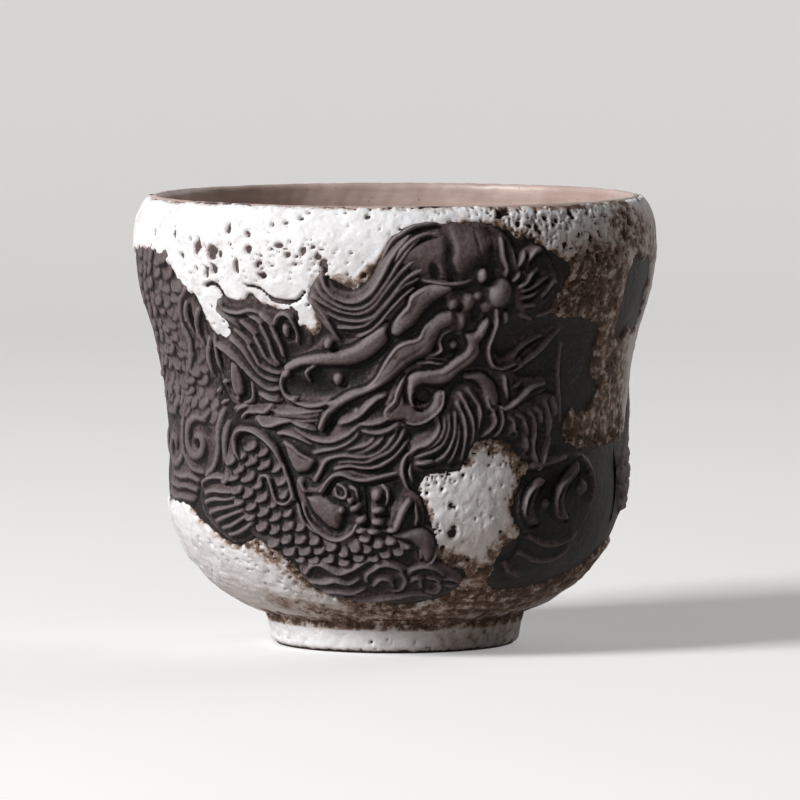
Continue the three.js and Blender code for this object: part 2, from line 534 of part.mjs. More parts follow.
// A ring of material from a far height to a line of [angle, height] points that goes once round the wall
function runLine(points, farHeight) {
  const inside = footTopRadius / 3;
  const outside = shoulderRadius * 1.5;
  const sections = points.map(([angle, level]) => {
    const turn = THREE.MathUtils.degToRad(angle);
    const height = level * unit;
    const place = (radius, z) => new THREE.Vector3(radius * Math.sin(turn), -radius * Math.cos(turn), z);
    const far = [place(inside, farHeight), place(outside, farHeight)];
    const section = [...far, place(outside, height), place(inside, height)];
    return farHeight < height ? section : section.reverse();
  });
  return solidOf(loft(sections, true));
}

// The front of each line follows the slip as it ran, and the back goes on in the same way
const rimLine = [[-85, 57], [-68, 57.2], [-62, 56.4], [-57, 54.4], [-54, 52], [-50, 51.2], [-47.4, 47.2],
  [-44, 45.4], [-40, 45.7], [-37, 47.6], [-36, 50.6], [-31, 50.6], [-24, 48.4], [-21, 46.9], [-18.6, 46.6],
  [-17.2, 49], [-16, 53], [-12, 54], [-9, 53.2], [-6, 53.8], [-3.6, 56], [-1.4, 58.8], [1.4, 60.8], [6, 61.3],
  [14, 61.8], [20, 61.6], [25, 60.6], [35, 57.8], [38, 56.6], [40, 52.4], [42, 48.8], [47, 48.4], [50.4, 46],
  [52, 40], [55, 36.4], [59, 33], [66, 31], [76, 30.4], [84, 33], [92, 42], [102, 48], [116, 52], [134, 53.4],
  [152, 50], [168, 51], [184, 53.6], [202, 52.4], [220, 49], [238, 52], [256, 55]];
const baseLine = [[-84, 21.2], [-65, 21.4], [-60, 19.6], [-50, 16.6], [-44, 16], [-38, 17.4], [-34.6, 16.6],
  [-30, 14.4], [-27.6, 12], [-25.6, 10.2], [-20, 8.8], [-12, 8], [0, 7.6], [8, 7.9], [14, 8.6], [18, 9.8],
  [21, 12], [25, 12.6], [28, 10.6], [34, 9.4], [44, 9.4], [52, 10.6], [60, 12.4], [68, 14.4], [76, 17],
  [86, 16], [98, 14], [116, 13], [134, 15], [150, 17.4], [166, 15], [184, 13], [206, 14.4], [226, 18],
  [246, 20.4], [262, 21]];

const rimRun = outerRun.slice(outerRun.findIndex((point) => point.y > waistHeight * 0.9));
const rimSlip = coat([...rimRun, ...lipRun.slice(1)], slipThickness).subtract(runLine(rimLine, 0));
const baseStart = outerRun[0].clone().lerp(outerRun[1], 0.35);
const baseEnd = outerRun.findIndex((point) => point.y > bowlHeight) + 1;
const baseRows = [baseStart, ...outerRun.slice(1, baseEnd)];
const baseSlip = coat(baseRows, slipThickness).subtract(runLine(baseLine, cupHeight));

// The patch on the belly, a blob of slip poured from the front right
const bellyRows = outerRun.slice(2, outerRun.findIndex((point) => point.y > flareHeight) + 1);
const bellyTurn = 20; // the patch is poured square to this angle
const bellyLine = [[7.4, 24.6], [9.4, 26.6], [16, 27.4], [20, 31.2], [24.4, 31.7], [29.6, 30.8], [34.6, 27.8],
  [33.5, 25.8], [31, 23.6], [30.3, 21.4], [32.8, 18.4], [30, 16.2], [25, 14.3], [20, 13.5], [14, 13.6],
  [10.6, 15], [9.4, 18], [8.6, 21], [7.4, 24.6]];
const bellyEdge = new THREE.SplineCurve(bellyLine.map(([angle, level]) => at(angle, level)));
const bellyOutline = bellyEdge.getPoints(30).slice(1).map((point) => [point.x, point.y]);
const bellySlip = coat(bellyRows, slipThickness).intersect(plug(bellyOutline, bellyTurn, 0));

// The foot: a turned ring with a flat to stand on, and its own coat of slip down to just above the table
const footOutside = [at(footFlatRadius, 0), at(footFlatRadius + footRoundness, footRoundness),
  at(between(footFlatRadius + footRoundness, footTopRadius, 0.6), between(footRoundness, footHeight, 0.5)),
  at(footTopRadius, footHeight)];
const footFlatInside = footFlatRadius - footFlatWidth;
const footRing = [...footOutside, at(wellRadius, footHeight), at(footFlatInside - footRoundness, footRoundness),
  at(footFlatInside, 0), footOutside[0]];
const footCoatTop = between(footHeight, footRoundness, 0.1);
const footCoatRun = [footOutside[1], footOutside[2],
  at(between(footOutside[2].x, footTopRadius, 0.8), footCoatTop)];

// The thrown body and the liner inside it
const bodyRun = [at(0, footHeight), at(wellRadius, footHeight), ...outerRun, ...lipRun.slice(1),
  ...innerRun.slice(1), at(0, floorTop)];
const linerRun = [...innerRun, at(0, floorTop)];
const linerUnder = offsetRun(linerRun, coatGap);
const linerOver = offsetRun(linerRun, coatGap + linerThickness);
linerUnder.at(-1).x = 0;
linerOver.at(-1).x = 0;

const cup = new THREE.Group();

function addPiece(name, geometry, colour, roughness) {
  const material = new THREE.MeshStandardMaterial({ color: colour, roughness, metalness: 0 });
  const mesh = new THREE.Mesh(geometry, material);
  mesh.name = name;
  cup.add(mesh);
}

const darkClay = '#3d3535';
const bareFootClay = '#4a3b36';
const whiteSlip = '#d9d7d6';
const linerBrown = '#6b4a40';
const clayRoughness = 0.72;
const slipRoughness = 0.55;
const linerRoughness = 0.4;

addPiece('thrown_body', revolve(bodyRun), darkClay, clayRoughness);
addPiece('foot_ring', revolve(footRing), bareFootClay, clayRoughness);
addPiece('liner_glaze', revolve([...linerUnder.reverse(), ...linerOver]), linerBrown, linerRoughness);
addPiece('rim_slip', geometryOf(rimSlip), whiteSlip, slipRoughness);
addPiece('belly_slip', geometryOf(bellySlip), whiteSlip, slipRoughness);
addPiece('base_slip', geometryOf(baseSlip), whiteSlip, slipRoughness);
addPiece('foot_slip', geometryOf(coat(footCoatRun, slipThickness)), whiteSlip, slipRoughness);

const sprigs = {
  dragon_head: [headMarks, []],
  dragon_jaw: [jawMarks, [headMarks]],
  bristles: [bristleMarks, [headMarks]],
  dragon_horns: [hornMarks, [headMarks]],
  mane_upper: [maneUpperMarks, [hornMarks, headMarks]],
  mane_left: [maneLeftMarks, [hornMarks]],
  mane_lower: [maneLowerMarks, [hornMarks, headMarks]],
  mane_wisps: [maneWispMarks, [hornMarks, maneLeftMarks, maneLowerMarks]],
  beard: [beardMarks, [headMarks, jawMarks, maneLowerMarks]],
  dragon_claw: [clawMarks, [maneLowerMarks]],
  scaled_coil: [coilMarks, [clawMarks, maneLowerMarks]],
  swirl: [swirlMarks, [coilMarks]],
  cloud_left: [cloudLeftMarks, []],
  cloud_high: [cloudHighMarks, []],
  cloud_low: [cloudLowMarks, [coilMarks]],
  curl_right: [curlRightMarks, []],
  back_coil: [backCoilMarks, []],
  tail_fin: [tailFinMarks, [backCoilMarks]],
  back_cloud: [backCloudMarks, [backCoilMarks]],
  high_cloud: [highCloudMarks, [backCoilMarks]],
};
for (const [name, [marks, neighbours]] of Object.entries(sprigs)) {
  addPiece(name, geometryOf(sprig(marks, neighbours)), darkClay, clayRoughness);
}

export default cup;
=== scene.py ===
"""A squat tea cup in dark stoneware, with a dragon in relief under poured white slip.

Metres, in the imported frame. The cup's own shapes are drawn in degrees and millimetres.
"""
import math

import bpy
import numpy as np
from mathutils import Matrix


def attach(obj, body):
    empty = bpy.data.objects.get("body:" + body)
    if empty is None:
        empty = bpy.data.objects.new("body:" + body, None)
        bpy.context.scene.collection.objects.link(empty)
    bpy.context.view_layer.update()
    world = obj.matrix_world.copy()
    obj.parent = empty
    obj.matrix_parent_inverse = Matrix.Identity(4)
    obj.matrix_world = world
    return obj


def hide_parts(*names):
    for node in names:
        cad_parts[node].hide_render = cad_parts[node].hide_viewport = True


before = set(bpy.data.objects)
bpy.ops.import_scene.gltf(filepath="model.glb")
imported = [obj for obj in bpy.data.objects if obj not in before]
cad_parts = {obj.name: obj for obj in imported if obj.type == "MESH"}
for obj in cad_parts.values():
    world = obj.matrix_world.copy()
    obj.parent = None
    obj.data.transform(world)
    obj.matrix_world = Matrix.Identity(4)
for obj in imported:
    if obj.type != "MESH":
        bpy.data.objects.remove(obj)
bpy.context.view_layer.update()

# Camera, floor and light
# A long lens from far off, a little above the rim. The floor is one pale sweep. A soft window stands on
# the left with its return beside it, a weaker lamp behind at the right, and the room glows faintly.
camera_distance = 1.235
camera_height = 0.125
camera_aside = 0.00072
camera_tilt = math.radians(4.17)
camera_data = bpy.data.cameras.new("camera")
camera_data.sensor_width = 36
camera_data.lens = 386.8
camera = bpy.data.objects.new("camera", camera_data)
camera.location = (camera_aside, -camera_distance, camera_height)
camera.rotation_euler = (math.pi / 2 - camera_tilt, 0, 0)
bpy.context.collection.objects.link(camera)
bpy.context.scene.camera = camera
bpy.context.scene.view_settings.view_transform = "Standard"
lamps_aim = 0.03


def area_lamp(name, azimuth, elevation, distance, size, power, colour):
    """A square lamp at a compass angle from the front, to the right, that looks at the cup."""
    lamp = bpy.data.lights.new(name, "AREA")
    lamp.shape = "SQUARE"
    lamp.size = size
    lamp.energy = power
    lamp.color = colour
    stand = bpy.data.objects.new(name, lamp)
    turn, rise = math.radians(azimuth), math.radians(elevation)
    stand.location = (
        distance * math.cos(rise) * math.sin(turn),
        -distance * math.cos(rise) * math.cos(turn),
        distance * math.sin(rise) + lamps_aim,
    )
    stand.rotation_euler = (math.pi / 2 - rise, 0, turn)
    bpy.context.collection.objects.link(stand)


def feed(socket, value):
    """Sets a node's socket to a value, or links another node's output to it."""
    if isinstance(value, bpy.types.NodeSocket):
        socket.id_data.links.new(value, socket)
    else:
        socket.default_value = value


def node_maker(tree):
    """Adds nodes to a tree: a kind, its settings, and its sockets by name or, after _, by number."""

    def add(kind, settings=None, **sockets):
        node = tree.nodes.new(kind)
        for key, value in (settings or {}).items():
            setattr(node, key, value)
        for key, value in sockets.items():
            feed(node.inputs[int(key[1:]) if key[0] == "_" else key.replace("_", " ")], value)
        return node

    return add


def new_material(name):
    """A new material, with the maker of its nodes and its shader's sockets."""
    material = bpy.data.materials.new(name)
    material.use_nodes = True
    shader = material.node_tree.nodes["Principled BSDF"]
    return material, node_maker(material.node_tree), shader.inputs


def rising(add, value, low, high, least=0.0, most=1.0):
    """A number that goes from a least to a most while a value goes from one level to another."""
    node = add("ShaderNodeMapRange", Value=value, From_Min=low, From_Max=high, To_Min=least, To_Max=most)
    return node.outputs["Result"]


def reckoned(add, operation, *terms, clamp=False):
    """What a Math node makes of its terms."""
    sockets = {f"_{number}": term for number, term in enumerate(terms)}
    return add("ShaderNodeMath", {"operation": operation, "use_clamp": clamp}, **sockets).outputs[0]


def mixed(add, share, first, second):
    """Two colours, mixed by a share. A colour Mix keeps them in its sockets 6 and 7."""
    node = add("ShaderNodeMix", {"data_type": "RGBA"}, _0=share)
    for number, value in ((6, first), (7, second)):
        feed(node.inputs[number], value if isinstance(value, bpy.types.NodeSocket) else (*value, 1))
    return node.outputs[2]


area_lamp("window", -57, 31, 1.3, 0.42, 21.5, (0.985, 0.99, 1.0))
area_lamp("window_return", -36, 10, 1.4, 0.8, 1.7, (1.0, 0.98, 0.95))
area_lamp("lamp_behind", 132, 24, 1.5, 0.8, 5.0, (1.0, 0.98, 0.95))

room_glow = 0.08
room_seen = 0.95
world = bpy.data.worlds.new("room")
world.use_nodes = True
room = world.node_tree.nodes["Background"].inputs
add_to_room = node_maker(world.node_tree)
to_camera = add_to_room("ShaderNodeLightPath").outputs["Is Camera Ray"]
feed(room["Color"], (0.92, 0.90, 0.885, 1))
feed(room["Strength"], rising(add_to_room, to_camera, 0, 1, room_glow, room_seen))
bpy.context.scene.world = world

floor_half = 1.15
sweep_front = -2.4
sweep_start = 0.7
sweep_radius = 0.5
sweep_height = 1.2
bend = [
    (sweep_start + sweep_radius * math.sin(t), sweep_radius * (1 - math.cos(t)))
    for t in np.linspace(0, math.pi / 2, 16)
]
side_view = [(sweep_front, 0.0), *bend, (sweep_start + sweep_radius, sweep_height)]
sweep_mesh = bpy.data.meshes.new("table_sweep")
sweep_mesh.from_pydata(
    [(x, y, z) for y, z in side_view for x in (-floor_half, floor_half)],
    [],
    [(2 * i, 2 * i + 1, 2 * i + 3, 2 * i + 2) for i in range(len(side_view) - 1)],
)
sweep_mesh.shade_smooth()
sweep = bpy.data.objects.new("table_sweep", sweep_mesh)
bpy.context.collection.objects.link(sweep)

# The camera and reflections see the floor pale and glowing a little, and the cup gets a darker, warmer
# bounce from it.
floor_colour = (0.76, 0.75, 0.735)
floor_bounce = (0.36, 0.30, 0.26)
floor_glow = 0.26
paper, add_to_paper, paper_shader = new_material("pale_table")
ways = add_to_paper("ShaderNodeLightPath").outputs
seen = ways["Is Camera Ray"]
for way in ("Is Glossy Ray", "Is Transmission Ray"):
    seen = reckoned(add_to_paper, "MAXIMUM", seen, ways[way])
feed(paper_shader["Base Color"], mixed(add_to_paper, seen, floor_bounce, floor_colour))
feed(paper_shader["Emission Strength"], reckoned(add_to_paper, "MULTIPLY", seen, floor_glow))
feed(paper_shader["Emission Color"], (0.9, 0.9, 0.9, 1))
feed(paper_shader["Roughness"], 0.8)
sweep_mesh.materials.append(paper)


# The thrown wall
# One throw of dark stoneware, from the joint with the foot up through the waist to the swelling
# shoulder and the rounded lip. Angles are degrees from the front, to the right, and sizes millimetres.
mm = 0.001
mean_radius = 35.0
slip_thickness = 0.45
lip_start = 63
coated_wall = [
    (4.6, 18.9), (5.0, 19.8), (5.9, 21.8), (7.1, 23.9), (9.4, 26.9), (11.7, 29.0), (14.0, 30.6),
    (16.3, 31.8), (18.6, 32.6), (20.9, 33.0), (24.0, 33.15), (29.0, 33.0), (34.7, 33.4), (40.5, 34.1),
    (45.1, 35.0), (49.7, 36.5), (53.2, 37.3), (58.0, 37.7), (61.0, 37.3), (63.0, 36.6), (64.3, 35.7),
    (64.9, 34.8), (64.95, 34.3), (64.7, 33.95), (63.8, 33.95), (61.0, 34.1),
]


def smooth(points, spacing):
    """A smooth run through some points, with a new point every so many millimetres."""
    p = np.asarray(points, float)
    p = np.vstack([2 * p[0] - p[1], p, 2 * p[-1] - p[-2]])
    steps = 14
    t = np.linspace(0, 1, steps, endpoint=False)[:, None]
    spans = [
        (2 * b + (c - a) * t + (2 * a - 5 * b + 4 * c - d) * t**2 + (3 * b - a - 3 * c + d) * t**3) / 2
        for a, b, c, d in zip(p, p[1:], p[2:], p[3:])
    ]
    line = np.vstack([*spans, p[-2:-1]])
    run = np.concatenate([[0], np.cumsum(np.linalg.norm(np.diff(line, axis=0), axis=1))])
    even = np.linspace(0, run[-1], max(3, int(run[-1] / spacing) + 1))
    return np.stack([np.interp(even, run, column) for column in line.T], -1)


class Profile:
    """The side view of a turned surface as (radius, height) points, read by the length along it."""

    def __init__(self, points):
        self.line = np.asarray(points, float)
        step = np.diff(self.line, axis=0)
        self.run = np.concatenate([[0], np.cumsum(np.linalg.norm(step, axis=1))])
        self.slope = np.gradient(self.line, self.run, axis=0)
        self.slope /= np.linalg.norm(self.slope, axis=1)[:, None]

    def place(self, angle, along, proud):
        """Points that stand proud of the surface, at an angle and a length along the profile."""
        radius, height, out, up = (
            np.interp(along, self.run, column)
            for column in (self.line[:, 0], self.line[:, 1], self.slope[:, 1], -self.slope[:, 0])
        )
        turn = np.radians(angle)
        reach = radius + out * proud
        return np.stack([reach * np.sin(turn), -reach * np.cos(turn), height + up * proud], -1) * mm


def waves(angle, along, size, seed, count=28):
    """Smooth unevenness between about -1 and 1, in swells of some millimetres, closed round the cup."""
    chance = np.random.default_rng(seed)
    total = np.zeros(np.broadcast(angle, along).shape)
    for _ in range(count):
        heading = chance.uniform(0, math.tau)
        pitch = math.tau / (size * chance.uniform(0.75, 1.5))
        around = round(pitch * math.cos(heading) * mean_radius)
        turn = np.radians(angle) * around + along * pitch * math.sin(heading)
        total += np.sin(turn + chance.uniform(0, math.tau))
    return total / math.sqrt(count)


coated = smooth([(r, z) for z, r in coated_wall], 0.25)
step = np.gradient(coated, axis=0)
step /= np.linalg.norm(step, axis=1)[:, None]
wall = Profile(coated - np.stack([step[:, 1], -step[:, 0]], -1) * slip_thickness)
side_rows = int(np.argmax(wall.line[:, 1] > lip_start)) + 1
side_run = wall.run[side_rows - 1]
side_top = wall.line[side_rows - 1, 1]


def along_wall(height):
    """Length along the wall's profile up to a height. It goes on over the lip at the same rate."""
    height = np.asarray(height, float)
    on_side = np.interp(height, wall.line[:side_rows, 1], wall.run[:side_rows])
    return np.where(height > side_top, side_run + height - side_top, on_side)


def level_of(along):
    """The height that belongs to a length along the wall's profile, counted on over the lip."""
    on_side = np.interp(along, wall.run[:side_rows], wall.line[:side_rows, 1])
    return np.where(along > side_run, side_top + along - side_run, on_side)


def ripples(angle, along):
    """The fine marks of throwing on the surface."""
    return 0.022 * waves(angle, along, 4.5, 4)


def unevenness(angle, along):
    """How far the thrown surface stands off a true round."""
    return 0.10 * waves(angle, along, 34, 3, 14) + ripples(angle, along)


def sheet_mesh(name, points, keep, values, material):
    """A smooth mesh from a grid of points, with the cells to keep and named values at its points."""
    rows, columns = points.shape[:2]
    number = np.arange(rows * columns).reshape(rows, columns)
    cells = np.stack([number[:-1, :-1], number[:-1, 1:], number[1:, 1:], number[1:, :-1]], -1)[keep]
    used, corner = np.unique(cells.ravel(), return_inverse=True)
    mesh = bpy.data.meshes.new(name)
    mesh.vertices.add(len(used))
    mesh.vertices.foreach_set("co", points.reshape(-1, 3)[used].ravel())
    mesh.loops.add(corner.size)
    mesh.loops.foreach_set("vertex_index", corner.ravel().astype(np.int32))
    mesh.polygons.add(len(cells))
    mesh.polygons.foreach_set("loop_start", np.arange(0, corner.size, 4, dtype=np.int32))
    mesh.update(calc_edges=True)
    mesh.shade_smooth()
    for value_name, value in values.items():
        layer = mesh.attributes.new(value_name, "FLOAT", "POINT")
        layer.data.foreach_set("value", value.reshape(-1)[used].astype(np.float32))
    mesh.materials.append(material)
    piece = bpy.data.objects.new(name, mesh)
    bpy.context.collection.objects.link(piece)
    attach(piece, "root")
    return piece


def touching(shown):
    """The cells of a grid that have a shown point at a corner."""
    return shown[:-1, :-1] | shown[:-1, 1:] | shown[1:, 1:] | shown[1:, :-1]


def ramp(add, value, stops):
    """A colour ramp through (place, colour) stops."""
    node = add("ShaderNodeValToRGB", Fac=value)
    points = node.color_ramp.elements
    while len(points) < len(stops):
        points.new(0.5)
    for point, (place, colour) in zip(points, stops):
        point.position = place
        point.color = (*colour, 1)
    return node.outputs["Color"]


def noise(add, place, size, detail, rough):
    """A noise whose features are about so many millimetres across."""
    node = add("ShaderNodeTexNoise", Vector=place, Scale=1 / (size * mm), Detail=detail, Roughness=rough)
    return node.outputs["Fac"]


def bumps(add, *layers):
    """A surface broken by (height, strength, millimetres) layers, each on the one before."""
    below = {}
    for height, strength, deep in layers:
        node = add("ShaderNodeBump", Strength=strength, Distance=deep * mm, Height=height, **below)
        below = {"Normal": node.outputs["Normal"]}
    return below["Normal"]


def clay_material(name, dark, pale, speck, roughness):
    """Fine-grained stoneware with specks, with painted highlight on the relief's crests and painted shade
    in its hollows and under its crests.
    """
    material, add, shader = new_material(name)
    place = add("ShaderNodeTexCoord").outputs["Object"]
    hollow = add("ShaderNodeAttribute", {"attribute_name": "hollow"}).outputs["Fac"]
    # The attribute holds painted shade and painted highlight from the relief's shape, with the clay's own
    # tone. The ramp's dark end is painted shade in hollows and under crests, and its pale end painted
    # highlight on crests.
    crest = rising(add, hollow, 0.62, -0.75)
    cloud_swing, crumb_swing = 0.36, 0.8
    clouds = reckoned(add, "MULTIPLY_ADD", noise(add, place, 6.0, 4.0, 0.6), cloud_swing, -cloud_swing / 2)
    crumbs = reckoned(add, "MULTIPLY_ADD", noise(add, place, 0.55, 3.0, 0.7), crumb_swing, -crumb_swing / 2)
    level = reckoned(add, "ADD", crest, reckoned(add, "ADD", clouds, crumbs), clamp=True)
    brown = (pale[0] * 0.50, pale[1] * 0.44, pale[2] * 0.42)
    deep_brown = tuple(b * 0.24 for b in brown)
    painted_half_highlight = tuple(p * 0.7 for p in pale)
    body = ramp(add, level, [(0.0, dark), (0.24, deep_brown), (0.5, brown), (0.82, painted_half_highlight), (1.0, pale)])
    dots = rising(add, noise(add, place, 0.35, 2.0, 0.6), 0.7, 0.78)
    feed(shader["Base Color"], mixed(add, dots, body, speck))
    scrapes = noise(add, place, 1.1, 4.0, 0.65)
    sand = noise(add, place, 0.4, 4.0, 0.7)
    feed(shader["Normal"], bumps(add, (scrapes, 0.8, 0.22), (sand, 0.9, 0.11)))
    feed(shader["Roughness"], roughness)
    feed(shader["Specular IOR Level"], 0.16)
    return material


dark_clay = clay_material("dark_clay", (0.004, 0.0026, 0.002), (0.185, 0.157, 0.158), (0.20, 0.17, 0.16),
                          0.54)
wall_spacing = 0.4
short_of_end = 0.2
around = np.linspace(-180, 180, round(math.tau * (mean_radius + 1) / wall_spacing) + 1)
up = np.linspace(0, wall.run[-1] - short_of_end, round(wall.run[-1] / wall_spacing))
angle_map, along_map = np.meshgrid(around, up)

# Under the slip at the left the clay in the open pits keeps a film of slip, and is paler.
clay_tone = 0.36
film_tone = 0.38
film_low = 54
film_left, film_right = -64, -6
wall_height = np.interp(along_map, wall.run, wall.line[:, 1])
film = np.clip((wall_height - film_low) / 2, 0, 1) * (angle_map > film_left) * (angle_map < film_right)
# The fine throwing marks get painted shade in their troughs and painted highlight on their ridges; the rest
# is the clay's tone and the slip film.
wall_painted_shade_and_tone = clay_tone - film_tone * film - 0.5 * ripples(angle_map, along_map)
wall_piece = sheet_mesh(
    "thrown_wall",
    wall.place(angle_map, along_map, unevenness(angle_map, along_map)),
    np.ones((len(up) - 1, len(around) - 1), bool),
    {"hollow": wall_painted_shade_and_tone},
    dark_clay,
)
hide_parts("thrown_body")


# The underside and the foot ring
# The floor is turned flat under the cup, and a low ring of the same clay is luted on and trimmed
# round. Its flat stands on the table, worn and stained where it was wiped free of slip.
def turned_piece(name, outline, spacing, material, relief=0.0, seed=1):
    """A turned surface from a (radius, height) outline, with a little unevenness."""
    profile = Profile(outline)
    columns = np.linspace(-180, 180, round(math.tau * profile.line[:, 0].max() / spacing) + 1)
    rows = np.linspace(0, profile.run[-1], max(4, round(profile.run[-1] / spacing)))
    angles, lengths = np.meshgrid(columns, rows)
    grain = 2.4
    rough = relief * waves(angles, lengths, grain, seed)
    points = profile.place(angles, lengths, rough)
    keep = np.ones((len(rows) - 1, len(columns) - 1), bool)
    turned_tone = 0.1
    # The value gives painted shade where the unevenness dips and painted highlight where it swells.
    return sheet_mesh(name, points, keep, {"hollow": turned_tone - rough}, material), profile


foot_clay = clay_material("foot_clay", (0.030, 0.020, 0.016), (0.13, 0.088, 0.066), (0.26, 0.20, 0.16), 0.7)
foot_joint = 4.6
foot_edge = [
    (13.0, foot_joint), (13.0, 2.0), (13.2, 0.6), (13.4, 0.15), (13.7, 0.0), (16.8, 0.0), (17.1, 0.1),
]
foot_side = smooth([(17.3, 0.35), (17.5, 0.9), (17.8, 2.4), (18.2, 4.0), (18.5, foot_joint + 0.3)], 0.2)
foot_outline = np.vstack([foot_edge, foot_side])
foot_piece, foot_profile = turned_piece("turned_foot", foot_outline, 0.35, foot_clay)
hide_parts("foot_ring")
underside_outline = [(0.02, foot_joint), (3.0, foot_joint), (8.0, foot_joint), (13.05, foot_joint)]
underside, _ = turned_piece("underside", smooth(underside_outline, 0.4), 0.5, foot_clay)


# The inside
# A thin warm brown glaze over the clay, from the lip down to the floor, with the throwing lines
# showing through.
inside_outline = [
    (35.15, 64.2), (34.9, 64.5), (34.45, 64.66), (34.1, 64.5), (33.9, 64.0), (33.9, 62.5), (33.95, 60.0),
    (33.9, 57.0), (33.3, 52.5), (32.0, 48.0), (30.6, 43.0), (29.7, 37.0), (29.2, 31.0), (29.2, 26.0),
    (28.8, 21.5), (27.4, 17.0), (24.8, 13.2), (20.8, 10.7), (15.5, 9.4), (9.0, 9.1), (3.0, 9.05),
    (0.02, 9.05),
]


def liner_material():
    """Thin brown glaze with faint rings from throwing and iron specks."""
    material, add, shader = new_material("brown_glaze")
    place = add("ShaderNodeTexCoord").outputs["Object"]
    rings = add("ShaderNodeMapping", Vector=place, Scale=(0.12, 0.12, 1.0)).outputs["Vector"]
    bands = noise(add, rings, 1.6, 3.0, 0.55)
    cloudy = noise(add, place, 9.0, 4.0, 0.6)
    level = reckoned(add, "MULTIPLY_ADD", cloudy, 0.55, reckoned(add, "MULTIPLY", bands, 0.45))
    browns = [(0.3, (0.33, 0.225, 0.19)), (0.55, (0.50, 0.385, 0.345)), (0.75, (0.60, 0.49, 0.45))]
    dots = rising(add, noise(add, place, 0.5, 2.0, 0.6), 0.68, 0.76)
    feed(shader["Base Color"], mixed(add, dots, ramp(add, level, browns), (0.10, 0.06, 0.045)))
    feed(shader["Normal"], bumps(add, (bands, 0.4, 0.12)))
    feed(shader["Roughness"], 0.42)
    return material


inside_piece, _ = turned_piece(
    "inside_glaze", smooth(inside_outline, 0.25), 0.4, liner_material(), relief=0.03, seed=5
)
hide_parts("liner_glaze")


# The dragon's head
# A leaf of clay pressed in a mould and luted to the wall. The head is raised on it in profile: smooth
# forehead, ball of the snout, eye, a scalloped cheek band that ends in a scroll, ear, and lip.
def soften(field, spread, wrap=False):
    """Blurs a map of values over so many cells."""
    reach = max(1, math.ceil(spread * 3))
    weights = np.exp(-0.5 * (np.arange(-reach, reach + 1) / spread) ** 2)
    weights /= weights.sum()
    for axis in (0, 1):
        pad = [(0, 0), (0, 0)]
        pad[axis] = (reach, reach)
        wide = np.pad(field, pad, mode="wrap" if wrap and axis == 1 else "edge")
        count = field.shape[axis]
        field = sum(w * np.take(wide, range(i, i + count), axis=axis) for i, w in enumerate(weights))
    return field


def within_outline(x, y, outline):
    """Which points lie inside a closed outline."""
    corners = np.asarray(outline, float)
    inside = np.zeros(x.shape, bool)
    for (x0, y0), (x1, y1) in zip(corners, np.roll(corners, -1, axis=0)):
        crosses = (y0 > y) != (y1 > y)
        with np.errstate(divide="ignore", invalid="ignore"):
            inside ^= crosses & (x < (x1 - x0) * (y - y0) / (y1 - y0) + x0)
    return inside


